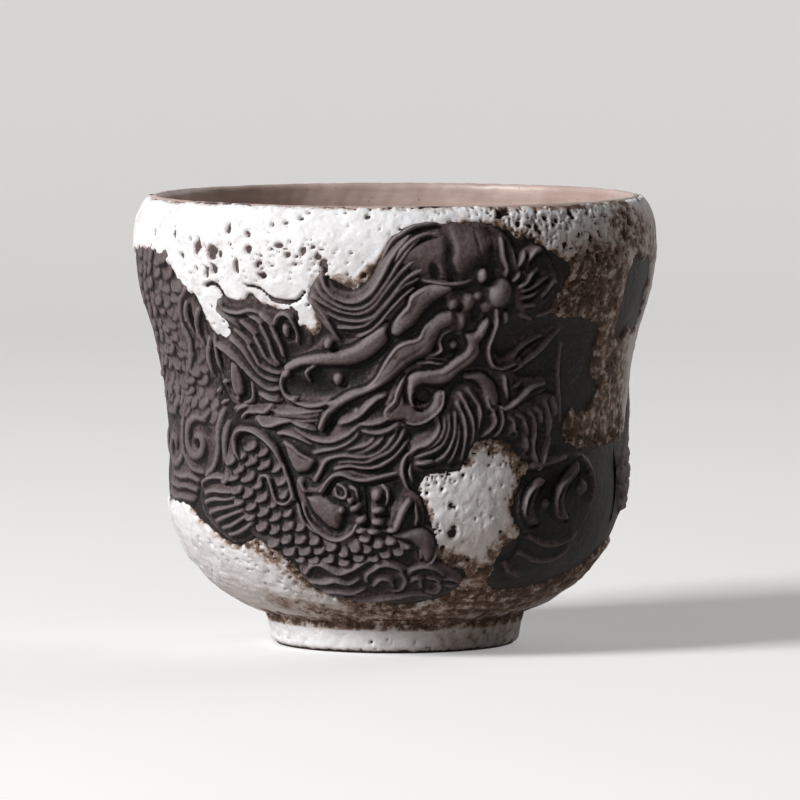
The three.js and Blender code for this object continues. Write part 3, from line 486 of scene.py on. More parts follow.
class Sprig:
    """A leaf of moulded clay on the wall. Places are (angle, height), and sizes are millimetres."""

    def __init__(self, left, right, low, high, cell=0.17):
        self.cell = cell
        self.middle = (left + right) / 2
        span = math.radians(right - left) * mean_radius
        self.angle, self.along = np.meshgrid(
            np.linspace(left, right, round(span / cell) + 1),
            np.arange(along_wall(low), along_wall(high), cell),
        )
        self.x = self.flat(self.angle, level_of(self.along))
        self.base = np.zeros(self.angle.shape)
        self.raised = np.zeros(self.angle.shape)
        self.carved = np.zeros(self.angle.shape)

    def flat(self, angle, height):
        """Millimetres round the wall from the sprig's middle."""
        radius = np.interp(along_wall(height), wall.run, wall.line[:, 0])
        return np.radians(np.asarray(angle) - self.middle) * radius

    def laid_out(self, points):
        """(angle, height) points as millimetres round the wall and along its profile."""
        angle, height = np.asarray(points, float).T
        return np.stack([self.flat(angle, height), along_wall(height)], -1)

    def near(self, points, reach):
        """The part of the map near a run, and each cell's distance, share and side along it."""
        line = smooth(self.laid_out(points), 0.35)
        low, high = line.min(0) - reach, line.max(0) + reach
        rows = np.flatnonzero((self.along[:, 0] > low[1]) & (self.along[:, 0] < high[1]))
        columns = np.flatnonzero(((self.x > low[0]) & (self.x < high[0])).any(0))
        part = np.s_[rows[0]:rows[-1] + 1, columns[0]:columns[-1] + 1]
        cells = np.stack([self.x[part], self.along[part]], -1)
        best = np.full(cells.shape[:2], np.inf)
        share = np.zeros(cells.shape[:2])
        under = np.zeros(cells.shape[:2])
        for i, (a, b) in enumerate(zip(line, line[1:])):
            ab = b - a
            rel = cells - a
            t = np.clip((rel @ ab) / max(ab @ ab, 1e-9), 0, 1)
            off = rel - t[..., None] * ab
            gap = np.hypot(off[..., 0], off[..., 1])
            closer = gap < best
            best = np.where(closer, gap, best)
            share = np.where(closer, (i + t) / (len(line) - 1), share)
            under = np.where(closer, off[..., 0] * 0.6 - off[..., 1], under)
        return part, best, share, under, line

    def fading(self, share, ends):
        """How full a run is along its length, from shares of its size at its two ends."""
        swell, taper, roundness = 0.35, 0.4, 0.7
        fade = ends[0] + (1 - ends[0]) * np.clip(share / swell, 0, 1) ** roundness
        return fade * (ends[1] + (1 - ends[1]) * np.clip((1 - share) / taper, 0, 1) ** roundness)

    def lift(self, part, height):
        """Raises a part of the map to a height where it is lower."""
        self.raised[part] = np.maximum(self.raised[part], height)

    def roll(self, points, width, height, ends=(0.4, 0.2), crown=0.85):
        """A rolled strand with a low root, that thins to shares of its size at its ends."""
        thinnest, root_height = 0.25, 0.6
        part, gap, share, _, _ = self.near(points, width)
        fade = self.fading(share, ends)
        half = 0.44 * width * (thinnest + (1 - thinnest) * fade)
        root = root_height * height * fade * np.clip(1 - gap / width, 0, 1)
        self.lift(part, height * fade**0.6 * np.clip(1 - (gap / half) ** 2, 0, 1) ** crown)
        self.lift(part, root)

    def fold(self, points, height, gentle, steep, ends):
        """A fold like combed hair: a long slope to a sharp crest, and a short drop below and right."""
        thinnest, slope_reach = 0.4, 1.25
        part, gap, share, under, _ = self.near(points, 1.3 * gentle)
        fade = self.fading(share, ends)
        slope = np.clip(1 - gap / (slope_reach * gentle * (thinnest + (1 - thinnest) * fade)), 0, 1) ** 1.3
        drop = np.clip(1 - (gap / steep) ** 1.5, 0, 1)
        self.lift(part, height * fade**0.5 * np.where(under > 0, drop, slope))

    def plate(self, outline, rise, edge, line=0.35, crown=0.5):
        """A plate with a rounded edge, laid over what is there, with a fine line pressed round it."""
        press_reach, line_reach, shows_through = 0.45, 0.3, 0.15
        part, gap, _, _, edge_line = self.near([*outline, outline[0]], 1.2)
        inside = within_outline(self.x[part], self.along[part], edge_line)
        inward = np.clip(gap / edge, 0, 1)
        shape = rise * (1 - (1 - inward) ** 2) ** crown
        pressed = self.raised[part] * (1 - np.exp(-((gap / press_reach) ** 2)))
        groove = line * np.exp(-((gap / line_reach) ** 2))
        self.raised[part] = np.where(inside, np.maximum(shape, shows_through * self.raised[part]), pressed)
        self.carved[part] = np.where(inside, 0, np.maximum(self.carved[part], groove))

    def cut(self, points, width, depth, ends=(0.4, 0.4)):
        """A groove pressed along a run."""
        part, gap, share, _, _ = self.near(points, width)
        shape = np.clip(1 - (gap / (width / 2)) ** 2, 0, 1) ** 1.3
        self.carved[part] = np.maximum(self.carved[part], depth * self.fading(share, ends) * shape)

    def across(self, angle, height, wide, tall, turn):
        """Each cell's place in an oval's own frame, where 1 is the oval's edge."""
        ((x, y),) = self.laid_out([(angle, height)])
        c, s = math.cos(math.radians(turn)), math.sin(math.radians(turn))
        dx, dy = self.x - x, self.along - y
        return (dx * c + dy * s) / (wide / 2), (dy * c - dx * s) / (tall / 2)

    def oval(self, *place):
        """One inside an oval's middle, falling to nothing at its edge."""
        u, v = self.across(*place)
        return np.clip(1 - u**2 - v**2, 0, 1)

    def knob(self, angle, height, wide, tall, rise, turn=0.0, crown=0.6):
        """A round or oval boss."""
        self.raised = np.maximum(self.raised, rise * self.oval(angle, height, wide, tall, turn) ** crown)

    def dimple(self, angle, height, wide, tall, depth, turn=0.0):
        """A round or oval hollow."""
        self.carved = np.maximum(self.carved, depth * self.oval(angle, height, wide, tall, turn) ** 0.8)

    def slab(self, outline, rise, edge):
        """The thin leaf under the ornament, with a soft edge."""
        closed = smooth(self.laid_out([*outline, outline[0]]), 0.4)
        within = soften(within_outline(self.x, self.along, closed).astype(float), edge / self.cell / 2)
        edge_start, edge_end = 0.35, 0.9
        share = np.clip((within - edge_start) / (edge_end - edge_start), 0, 1)
        self.base = np.maximum(self.base, rise * share * share * (3 - 2 * share))

    def sunk(self, proud, reach, depth):
        """How far each place lies below those within a reach, in shares of a depth."""
        return (soften(proud, reach / self.cell) - proud) / depth

    def fire(self, name, node, soft=0.11, shade=0.0):
        """Turns the map into a piece that stands on the wall, filled between its crests, and undercut.

        The undercut is at the right of each crest, away from the window. The value given to the material
        paints shade there and in narrow and wide hollows, paints highlight on crests and on slopes that
        face the window, darkens the plain leaf, and adds the shade argument's painted shade over the whole
        sprig.
        """
        fill, fill_reach = 0.92, 0.85
        undercut, undercut_reach, steepest = 0.42, 0.44, 0.8
        plain_tone, plain_rise = 0.36, 0.22
        seat, least_shown = 0.03, 0.02
        raised = np.maximum(self.raised, fill * soften(self.raised, fill_reach / self.cell))
        step = max(1, round(undercut_reach / self.cell))
        beside_it = np.pad(raised, step, mode="edge")[2 * step:, :-2 * step]
        under = np.clip(beside_it - raised, 0, steepest)
        proud = self.base + raised - self.carved - undercut * under
        worn = 0.03 * waves(self.angle, self.along, 2.2, 61)
        worn += 0.012 * waves(self.angle, self.along, 0.8, 62)
        proud = soften(proud + worn * (proud > 0.1), soft / self.cell)
        # Painted shade in narrow and wide hollows and, as the shadow term, under each crest; painted
        # highlight on crests and on slopes that face the window.
        narrow = self.sunk(proud, reach=0.24, depth=0.34)
        wide = np.clip(self.sunk(proud, reach=0.8, depth=0.42), -0.15, 1)
        plain = plain_tone * np.clip(1 - raised / plain_rise, 0, 1)
        facing = np.clip(raised - beside_it, 0, steepest)
        shadow = soften(2.2 * under - 0.8 * facing, 0.12 / self.cell)
        hollow = np.clip(shade + plain + narrow + wide + shadow, -2, 2)
        points = wall.place(self.angle, self.along, unevenness(self.angle, self.along) + proud - seat)
        piece = sheet_mesh(name, points, touching(proud > least_shown), {"hollow": hollow}, dark_clay)
        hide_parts(node)


head = Sprig(-5, 43, 32, 63)
head.slab([(25.6, 60.4), (21, 62.2), (14, 62.6), (7, 62.4), (2, 61.6), (0, 57.6), (3, 54.6), (9, 53.4),
           (11.4, 51), (11.6, 48), (9.4, 45), (7, 43.4), (2.4, 42.2), (-0.6, 39.4), (-2.8, 35.8), (0, 33.8),
           (6, 33.2), (11, 34.8), (12.6, 38), (15, 40.2), (19, 42.2), (21, 43.8), (22, 42), (25, 41),
           (30, 41), (31.4, 42.4), (29, 44.6), (26.4, 43.4), (23.8, 44.4), (23.4, 48), (26, 47.8),
           (27, 50.6), (28, 53), (27, 56.6)], 0.3, 0.9)
# The smooth forehead, with strands and fine lines along its edges.
head.plate([(22.4, 58), (21.8, 60.2), (18, 61.6), (12, 62), (5, 61.8), (-0.6, 60.6), (-2.6, 58.6),
            (-0.5, 56.4), (3, 55), (6.5, 54), (11, 53.4), (16, 53.9), (19.8, 55.2), (21.8, 56.4)],
           1.1, 4.4, 0.0, 1.1)
head.roll([(-2.6, 57.6), (-0.4, 59.9), (4, 61.6), (9, 62.2)], 0.9, 1.2, (0.4, 0.3))
head.roll([(-0.6, 56.6), (1.8, 58.8), (5.4, 60.4), (10, 60.9)], 0.8, 1.35, (0.4, 0.1))
head.roll([(6, 54.5), (10, 54.0), (14, 54.0), (17, 54.6)], 0.9, 0.95, (0.4, 0.3))
head.roll([(23.2, 60), (23.6, 57.6), (24.6, 56), (24.1, 54.8)], 1.2, 0.95, (0.5, 0.5))
head.roll([(25.8, 58.6), (26.4, 57), (27.6, 55.4)], 0.9, 0.7, (0.4, 0.6))
for line in (
    [(-1.4, 57.2), (1.4, 59.6), (6, 61.2)],
    [(0.6, 56.4), (3, 58.8), (8, 60.8)],
    [(17.2, 61.2), (17.9, 58.8), (18.8, 57.2)],
    [(6.6, 55.4), (10, 55.3), (13, 55.0)],
    [(7, 54.7), (10, 54.7), (13, 54.5)],
):
    head.cut(line, 0.42, 0.22)
head.cut([(10.6, 61), (11.6, 59), (11.4, 57), (12.4, 55)], 2.2, 0.55, (0.3, 0.8))
head.dimple(8.4, 55.8, 1.7, 3.0, 0.5, 20)
# The scalloped band of the cheek.
head.plate([(21.0, 49.4), (19.2, 48.3), (18.2, 47.3), (16, 46.9), (16.6, 45.6), (16, 44.4), (14, 43.6),
            (12, 42.6), (10, 42), (7.6, 41.8), (5, 41.6), (3.2, 41), (2.4, 39.8), (2.5, 38.3), (3.2, 37.2),
            (4.4, 37.3), (4.5, 38.3), (5.2, 39.2), (6.5, 39.7), (8, 39.6), (11, 39.6), (13.5, 40.3),
            (15.1, 41.3), (17.1, 42.1), (18.8, 43), (20.1, 44.3), (19.8, 45.7), (20.8, 46.8), (21.5, 48.4)],
           1.25, 0.75)
head.cut([(18.9, 46.8), (18.6, 45), (17, 43.6), (14.6, 42.4), (11.6, 41.2), (8, 40.8)], 0.5, 0.16)
# The scroll under the band's left end, with rolls along its edges round a hollow.
head.plate([(2.2, 41.2), (1.2, 39.9), (0.4, 38.6), (-0.2, 37.4), (-1.8, 36.4), (-2.8, 35.4), (-2, 34.5),
            (0, 34.4), (2.2, 34.5), (3.6, 33.9), (6, 33.9), (8.2, 34.6), (10.5, 35.6), (11.7, 36.8),
            (12, 38.4), (11, 39), (9.4, 38.4), (9, 37.2), (7.6, 36.2), (5.6, 36.1), (4.2, 36.7), (3, 37.2),
            (2.3, 38.4), (2.3, 39.8)], 0.85, 0.9)
head.dimple(6.9, 37.9, 2.7, 2.3, 0.75, -15)
head.roll([(2.5, 41), (1.3, 39.8), (0.5, 38.6), (0, 37.4), (-1.6, 36.4), (-2.5, 35.5), (-1.8, 34.7),
           (0, 34.6)], 0.75, 1.2)
head.roll([(11.6, 38.6), (11.4, 36.9), (10.2, 35.8), (8.2, 34.8), (6, 34.2), (3.6, 34.1), (2.2, 34.6)],
          0.95, 1.3, (0.7, 0.3))
head.roll([(4.6, 38.9), (3.8, 38.4), (3.8, 37.4), (4.6, 36.7), (6, 36.4)], 0.7, 1.35, (0.8, 0.3))
# The eye in its socket, and the lids round it.
head.dimple(13.6, 45.3, 3.0, 3.5, 0.35, 20)
head.knob(13.6, 45.3, 1.35, 1.5, 0.95)
head.dimple(13.7, 45.3, 0.45, 0.5, 0.35)
head.roll([(12.6, 47.6), (11, 47.1), (10.1, 45.9), (10.7, 44.8), (9.2, 44.1), (7, 43.9)],
          0.85, 1.25, (0.6, 0.4))
head.roll([(7, 43.4), (9.2, 43.5), (11.2, 43.4)], 0.5, 0.9)
head.roll([(5.2, 42.7), (8, 42.9), (11.2, 42.6), (12.6, 43.2)], 0.6, 1.0)
# The ball of the snout, and the lumps of the nose beside it.
head.knob(23.2, 52.5, 3.9, 4.6, 2.0, 0, 0.55)
head.knob(18.8, 55.1, 1.6, 2.3, 1.75, 0, 0.55)
head.knob(25.0, 49.3, 1.1, 2.5, 1.3, 12)
head.knob(16.3, 51.4, 2.6, 3.3, 0.9, 10, 1.0)
head.knob(18.2, 52.2, 2.1, 1.8, 0.8, 0, 1.0)
head.knob(12.8, 51.2, 2.1, 2.2, 0.9, 0, 1.0)
head.knob(15.0, 48.7, 1.8, 3.2, 0.85, 6, 1.0)
head.knob(20.4, 50.8, 2.4, 3.0, 0.85, 30, 0.9)
head.dimple(14.4, 50.6, 1.0, 1.2, 0.4)
head.dimple(18.2, 49.6, 1.6, 2.6, 0.35)
# The lip, and the whiskers in front of it.
head.roll([(22.5, 50.4), (23.0, 48.6), (22.3, 46.6), (21.7, 45), (22.2, 43.5), (23.4, 42.3), (25.2, 41.8),
           (27.4, 42.1), (29, 42.4)], 1.0, 1.5, (0.8, 0.6))
head.roll([(29.2, 41.5), (32, 42.7), (35, 44.1), (38.4, 46), (41, 47)], 1.15, 1.45, (0.35, 0.12))
head.roll([(28.4, 43.5), (30.8, 45), (33.4, 45.9), (36.2, 46.3)], 0.85, 1.1, (0.4, 0.15))
head.roll([(38.4, 50), (36, 49.4), (33.8, 49)], 0.5, 0.7)
head.fire("dragon_head_relief", "dragon_head")


# The lower jaw
# A sprig of its own of the same clay, luted on under the lip, with a tooth, and a chin whisker that
# runs out to the right.
jaw = Sprig(14, 47, 31, 47.5)
jaw.slab([(39, 40.4), (33.6, 40.4), (30.5, 40.6), (28, 41.6), (25.6, 41.6), (22, 42), (16, 41.8),
          (15.6, 40.4), (18.6, 39.2), (21, 37), (24, 35.2), (28, 35.2), (33, 36.8), (39.4, 38.2)],
         0.25, 0.8)
jaw.plate([(16.6, 41.2), (19, 41.4), (21.2, 41.3), (22.6, 40.7), (24.2, 39.9), (25.5, 38.4), (25.6, 36.9),
           (24.6, 36.1), (23, 36.5), (21.8, 37.6), (21, 38.7), (19.8, 39.6), (18, 40.2), (16.4, 40.5)],
          0.95, 0.9)
jaw.roll([(25, 36.6), (27, 36.0), (28.8, 36.4), (30.6, 37.3), (32, 38), (33.6, 38.8), (35.6, 39.2),
          (38.6, 39.3)], 1.5, 1.4, (0.4, 0.12))
jaw.roll([(26.6, 40.6), (27, 39.1), (27.9, 37.5)], 0.85, 1.3, (0.8, 0.4))
jaw.roll([(29.3, 39.1), (30.2, 39.3), (31.2, 39.8)], 0.6, 0.9)
jaw.roll([(42.4, 44.8), (42.8, 40.6), (44, 37.2), (45.2, 33.8)], 0.9, 0.55, (0.4, 0.3))
jaw.fire("dragon_jaw_relief", "dragon_jaw")


# The bristles in front of the snout
# Fine points of clay in a fan, rolled on a small leaf that is luted to the wall and reaches under
# the slip.
bristles = Sprig(24, 41, 48, 60)
bristles.slab([(26, 55.6), (27.4, 58), (31, 59.2), (35, 58), (37.6, 55), (37.4, 52), (34, 50), (30, 49.6),
               (27.4, 50.4)], 0.25, 0.9)
for bristle in (
    [(27.9, 53.4), (29.3, 54.0), (30.6, 55.2), (32.2, 56.0)],
    [(28.6, 52.8), (31, 53.4), (33, 54.2), (35, 54.6)],
    [(28.8, 51.9), (31, 52.3), (32.8, 53.1)],
    [(34, 52.2), (35.2, 53.2), (36.4, 54.0), (38, 53.5)],
    [(26.2, 54.2), (27, 54.8), (27.8, 55.6)],
    [(29.6, 57.1), (31.2, 58.2), (33.2, 58.6)],
    [(29.6, 50.7), (31, 50.8), (32.6, 50.6)],
    [(27.4, 56.4), (28.2, 57.4), (28.8, 58.4)],
    [(29.4, 49.4), (31, 48.9), (32.4, 48.4)],
):
    bristles.roll(bristle, 0.95, 1.1, (0.8, 0.1))
bristles.fire("bristles_relief", "bristles")


# The horns
# A sprig with two broad lobes that rise at the brow and taper to the left. One ends in a blunt tip,
# and the other bends back round a hollow with a knob in it.
horns = Sprig(-30, 15, 31, 55.6)
horns.slab([(12.6, 54), (6, 54), (1.4, 52), (-3, 49), (-9, 46.6), (-15.4, 46.8), (-20, 44.8), (-26, 43),
            (-28.6, 40.6), (-27.6, 37), (-22, 35.4), (-19.2, 33.4), (-17.6, 32), (-15, 34), (-9, 36.8),
            (-3, 38.8), (1, 40.6), (4, 42), (9.6, 43.8), (11, 46), (12.4, 48.4), (13.6, 51)], 0.25, 0.8)
horns.cut([(-24.6, 39), (-20, 39.2), (-15, 39.4), (-10, 40.4), (-6, 41.6)], 3.6, 0.22, (0.7, 0.3))
# The upper horn, the brow's lobe beside it, and the lower horn, with a ridge along their edges.
horns.plate([(-1, 48.8), (-3.6, 48.2), (-6, 47), (-8, 45.9), (-10, 45.2), (-13, 44.6), (-16, 44.3),
             (-20, 43.9), (-24, 43.2), (-27, 42), (-25.6, 41.2), (-21.6, 41.9), (-18, 42), (-14, 42.1),
             (-10, 42.2), (-7, 42.8), (-4, 44), (-1.4, 45.6), (-0.4, 47.2)], 1.15, 1.2)
horns.plate([(9, 54.2), (5.8, 53.5), (3.3, 52.6), (2.5, 51.1), (0.8, 49.9), (-0.8, 48.4), (-0.9, 47.1),
             (1, 46.6), (3.5, 47.5), (5.4, 48.7), (7, 50.1), (9, 51.4), (11.6, 52.5), (12.6, 53.7)],
            1.3, 1.5)
horns.plate([(12.4, 50.3), (9.6, 50), (6.6, 48.4), (5.2, 46.7), (2.6, 46.2), (0.3, 45.4), (-1.5, 43.9),
             (-3.1, 42.2), (-4.6, 40.6), (-7, 39.4), (-10, 39), (-13, 38.1), (-16, 36.8), (-18, 35.2),
             (-18.7, 33.4), (-17.4, 32.7), (-16, 33.6), (-14.4, 35.2), (-12, 36.5), (-9, 37.5), (-6, 38.4),
             (-3, 39.2), (0, 40.3), (2.5, 41.7), (5, 42.9), (8.6, 44), (10.1, 45.9), (11, 47.3), (13, 48),
             (13.8, 49.2)], 1.35, 1.5)
horns.roll([(10, 49.7), (6.8, 48.1), (5.5, 46.4), (2.6, 45.8), (0.4, 45), (-1.4, 43.5), (-3, 41.9),
            (-4.6, 40.3), (-7.2, 39.2)], 0.8, 1.4, (0.3, 0.3))
horns.roll([(8.6, 53.8), (5.8, 53.1), (3.7, 52.2), (3, 50.9), (1.3, 49.7), (0, 48.5), (-0.3, 47.5)],
           0.8, 1.4, (0.3, 0.3))
horns.cut([(8.6, 47), (5.6, 44.9), (2, 43.4), (-1.2, 41.4), (-4.6, 39.9)], 0.6, 0.14)
# The lower horn's loop, with the knobs and rolls in it and beside it.
horns.roll([(-10, 38.3), (-13.4, 37.4), (-17, 36.8), (-20.6, 36.5), (-24, 37), (-26.6, 38), (-27.7, 39.4),
            (-27, 40.8), (-25.2, 41.5)], 1.05, 1.2, (0.3, 0.7))
horns.knob(-26.2, 41.0, 1.8, 1.4, 1.5, 20)
horns.knob(-24.6, 37.5, 1.6, 1.0, 1.3)
horns.roll([(-15.6, 36.1), (-16.8, 34.8), (-17.9, 33.4)], 1.25, 1.6, (0.7, 0.9))
horns.knob(-15.2, 45.5, 1.4, 1.6, 1.7)
horns.knob(-13.3, 40.4, 1.6, 2.0, 1.15)
horns.roll([(-18.8, 42.3), (-20.8, 41.5), (-20.3, 40.3)], 0.95, 1.45, (0.8, 0.7))
horns.fire("horns_relief", "dragon_horns")


# The mane over the horns
# Long locks combed in a leaf of soft clay, up from the brow to the rim, and back to the left in one
# wave. The leaf is luted on under the rim's slip.
mane_upper = Sprig(-21, 10, 44.6, 62.4)
mane_upper.slab([(6, 60.8), (2, 61), (-1.6, 59.4), (-4.6, 55.4), (-8, 53.2), (-12.4, 53.4), (-16, 55.8),
                 (-19, 53), (-18.4, 50), (-15, 47), (-11, 45.6), (-6, 46.6), (-1, 49.2), (3, 52.4),
                 (8, 54.4)], 0.3, 0.9)
for lock in (
    [(4, 53.5), (1.6, 52.2), (-0.8, 50.6), (-3, 48.9), (-5.4, 47.5), (-8, 46.6)],
    [(5, 54.8), (1.4, 53.4), (-1, 51.8), (-3.6, 49.8), (-6, 48.5), (-9, 47.9), (-12.6, 47.9)],
    [(6, 56), (2.4, 54.7), (-0.6, 52.4), (-3, 50.7), (-5, 49.5), (-8, 48.9), (-12, 49.1), (-15, 50)],
    [(5, 57.6), (2, 56.1), (0, 54.6), (-2.2, 52.7), (-4.2, 51.1), (-6.4, 50.2), (-9, 49.9), (-12.4, 50.3),
     (-15.4, 51.2), (-18, 52.2)],
    [(3.4, 58.6), (1, 57), (-0.8, 55.2), (-2.6, 53.4), (-4.6, 51.8), (-7, 50.8), (-9.6, 50.6),
     (-12.8, 51.1), (-15.6, 52.4), (-17, 53.6)],
    [(3, 60.4), (-0.4, 57.8), (-2.2, 55.6), (-3.8, 53.8), (-5.5, 52.5), (-8, 51.6), (-10.5, 51.5),
     (-13, 52.1), (-14.7, 53.3), (-15.8, 54.9)],
    [(5.4, 60.2), (2.6, 58.4), (0.6, 56.6)],
):
    mane_upper.fold(lock, 1.15, 1.15, 0.4, (0.5, 0.35))
mane_upper.fold([(-19, 51.7), (-16.8, 50.5), (-15, 49), (-13.6, 47.2), (-12.8, 46)],
                0.9, 1.2, 0.5, (0.4, 0.5))
mane_upper.fire("mane_upper_relief", "mane_upper")


# The mane at the left
# A luted leaf with loose locks that curl out from under the white slip, bend down, and meet the
# horn's end.
mane_left = Sprig(-50, -18, 35.4, 54)
mane_left.slab([(-19, 46.6), (-20, 50), (-24, 51.4), (-31, 52), (-38, 51.8), (-44, 51.4), (-48.6, 48),
                (-48, 44), (-46.6, 40), (-43.6, 36.4), (-38, 35.8), (-33, 36.4), (-29, 36.6), (-27.6, 40),
                (-26, 42.6), (-20, 44.2)], 0.3, 0.9)
# A small leaf at the left, with a groove and a roll round it.
mane_left.plate([(-42, 42.4), (-40, 42.2), (-38.7, 40.8), (-38.1, 39), (-38.6, 37.7), (-40.4, 37.4),
                 (-41.8, 38), (-42.5, 40)], 0.95, 0.8)
mane_left.roll([(-41.6, 37.3), (-40.6, 37.0), (-40.4, 37.7), (-41.2, 37.9)], 0.5, 1.0)
mane_left.cut([(-38.2, 41.2), (-37.3, 39.5), (-37.1, 37.8), (-38.4, 36.9)], 1.0, 0.5)
mane_left.roll([(-36.4, 39.6), (-35.8, 38.2), (-36.2, 37.1), (-38, 36.7), (-39.6, 36.5)], 0.7, 0.9)
for lock in (
    [(-31, 49.4), (-28.4, 48), (-27, 45.6), (-26.6, 43.6)],
    [(-34.4, 49.4), (-31.4, 48.4), (-29.8, 46.2), (-29.2, 43.8), (-28, 42.4)],
    [(-36.6, 48.4), (-33.6, 46.8), (-32, 44.8), (-30.8, 43), (-28.8, 42)],
    [(-38.6, 47), (-36, 45.6), (-34.2, 43.8), (-32.6, 42), (-30.2, 41.2), (-28, 41)],
    [(-40.6, 45.6), (-38, 44.4), (-35.8, 42.8), (-33.8, 41.2), (-31.6, 40.2), (-29, 39.9)],
    [(-46, 44.6), (-43.4, 43.9), (-41, 43), (-38.6, 41.8), (-36.6, 40.8), (-34.6, 39.8), (-32.6, 38.9),
     (-31, 38.6), (-28.6, 38.7)],
    [(-33.6, 37.9), (-31, 37.2), (-28.6, 37)],
    [(-42.6, 49.6), (-39.4, 48.6), (-36.8, 47.2)],
):
    mane_left.fold(lock, 1.15, 1.4, 0.42, (0.5, 0.3))
# The strand over the locks, and the knobs and rolls between them.
mane_left.roll([(-42, 51), (-40.8, 50.1), (-39, 49.7), (-36.6, 49.6), (-33.8, 50), (-31.4, 49.6)],
               0.8, 1.2, (0.7, 0.3))
mane_left.roll([(-46.4, 46), (-46.6, 43.6), (-46.4, 41)], 0.8, 0.7)
mane_left.cut([(-45.6, 44.2), (-45.7, 42.8), (-45.4, 41.2)], 0.9, 0.4)
mane_left.dimple(-25.3, 47.2, 3.0, 3.8, 0.5)
mane_left.knob(-25.3, 47.2, 1.5, 2.5, 1.2)
mane_left.roll([(-28, 47.4), (-27.2, 49), (-25.2, 49.7), (-23.4, 49), (-22.6, 47.2), (-22.9, 45.6)],
               0.8, 1.15, (0.4, 0.3))
for angle, height, wide, tall, turn in (
    (-47.6, 38, 0.8, 1.1, 0), (-46, 36.4, 1.7, 0.8, 25), (-42, 35.7, 1.4, 0.7, 20),
    (-44.6, 39.4, 1.0, 0.9, 0),
):
    mane_left.knob(angle, height, wide, tall, 0.8, turn)
mane_left.fire("mane_left_relief", "mane_left")


# The mane under the horns
# A luted leaf with locks that run left from behind the ear, one over the other, with a folded tuft
# at the end.
mane_lower = Sprig(-40, 6, 24.4, 39.6)
mane_lower.slab([(1.6, 34.8), (-1.6, 38.8), (-6, 37.8), (-10, 35.8), (-13.4, 35.2), (-17, 32), (-22, 34),
                 (-36, 35), (-36.4, 33.2), (-30.6, 32.6), (-28.4, 30), (-24.6, 26.4), (-20.8, 26),
                 (-19.8, 25), (-15, 26.4), (-10, 25.8), (-4, 26), (1, 26.6), (3.6, 25), (5, 28),
                 (4.4, 31.6)], 0.25, 0.8)
for lock in (
    [(2.6, 31.4), (0.8, 30), (-1.2, 28.9), (-3.8, 28), (-7, 27.7), (-11, 28), (-14.4, 27.6)],
    [(2, 32.8), (0.6, 31.4), (-1.4, 30.1), (-4, 29.3), (-7, 28.6), (-10.4, 28.7), (-14, 28.6)],
    [(0.6, 33.4), (-0.8, 31.8), (-2.8, 30.5), (-5.2, 29.6), (-8.4, 29.3), (-12, 29.5), (-15, 29.2),
     (-17, 28.5), (-18.3, 27.1), (-19.6, 25.9)],
    [(-2.4, 33), (-3.2, 31.9), (-5, 30.9), (-7.4, 30.2), (-10.4, 29.9)],
    [(-4.8, 32.6), (-5.6, 31.6), (-7.6, 30.9), (-10.2, 30.6), (-13.4, 30.2)],
    [(-8.6, 33), (-9.6, 32.1), (-11.6, 31.2), (-14, 30.6), (-17, 30.2), (-20, 29.8)],
    [(-8.6, 33.9), (-11, 32.6), (-14.4, 31.6), (-17, 31.4), (-20, 31.7), (-22.6, 32.4), (-24.8, 33.2)],
    [(-19.6, 33), (-23, 33.6), (-25.6, 34.2)],
    [(-25.6, 34.3), (-28.6, 33.9), (-31, 33.4), (-33.4, 33.4), (-35.2, 34.3)],
    [(-20.6, 31), (-23.6, 31.8), (-27, 32.4), (-29.4, 32.4)],
    [(0.6, 33.9), (-1.4, 33.2), (-3.4, 32.8), (-5.6, 32.8), (-8.2, 33.2)],
    [(-0.6, 35.2), (-3, 34.4), (-6, 34), (-9, 34.2)],
    [(-2.4, 38.1), (-4.2, 37.6), (-6.2, 36.5), (-8.2, 35.3), (-10.6, 34.5), (-13, 34.1)],
):
    mane_lower.fold(lock, 1.1, 1.2, 0.38, (0.35, 0.3))
# The folded tuft, and the strands beside the beard.
mane_lower.plate([(-28, 31.2), (-26, 30.9), (-23.4, 29.8), (-19.8, 28.8), (-20.5, 27.4), (-22.6, 26.8),
                  (-24.9, 27.1), (-26.8, 29)], 0.95, 0.8)
mane_lower.roll([(-28, 31.2), (-25.6, 30.6), (-23.2, 29.5), (-20.2, 28.7)], 0.75, 1.25, (0.6, 0.3))
mane_lower.roll([(4.8, 30.2), (3, 29.7), (2.1, 28.8), (1.8, 27.4), (2.4, 25.9), (3.6, 24.5)],
                0.9, 1.15, (0.4, 0.3))
mane_lower.roll([(3.8, 28.4), (3.6, 27.2), (4.6, 25.8)], 0.8, 0.9)
mane_lower.knob(-9.2, 36, 0.7, 0.8, 0.8)
mane_lower.fire("mane_lower_relief", "mane_lower")


# The wisps under the horn's end
# Thin locks of the same clay, nearly level, that fill the space between the horn and the coil's rim.
# They are pressed on while both are soft.
wisps = Sprig(-42, -15, 32.4, 38)
wisps.slab([(-17, 36.4), (-25, 36.6), (-33, 36.8), (-40, 36), (-42, 34.6), (-38, 33.6), (-30, 34.2),
            (-22, 34), (-17, 34.4)], 0.22, 0.8)
for wisp in (
    [(-17.6, 35.9), (-22, 35.5), (-26, 35.3), (-29, 35.3), (-31.4, 35.8)],
    [(-18.6, 35.2), (-22, 34.9), (-26, 34.9), (-30, 35)],
    [(-31, 36.4), (-33, 35.3), (-36.4, 35.4)],
    [(-35.8, 35.1), (-38, 35.2), (-40.2, 34.4)],
    [(-38.6, 36.2), (-41, 35.6), (-42.4, 35)],
    [(-19, 34.4), (-23, 34.2), (-27, 34.4)],
):
    wisps.fold(wisp, 0.85, 0.9, 0.35, (0.4, 0.3))
wisps.fire("mane_wisps_relief", "mane_wisps")


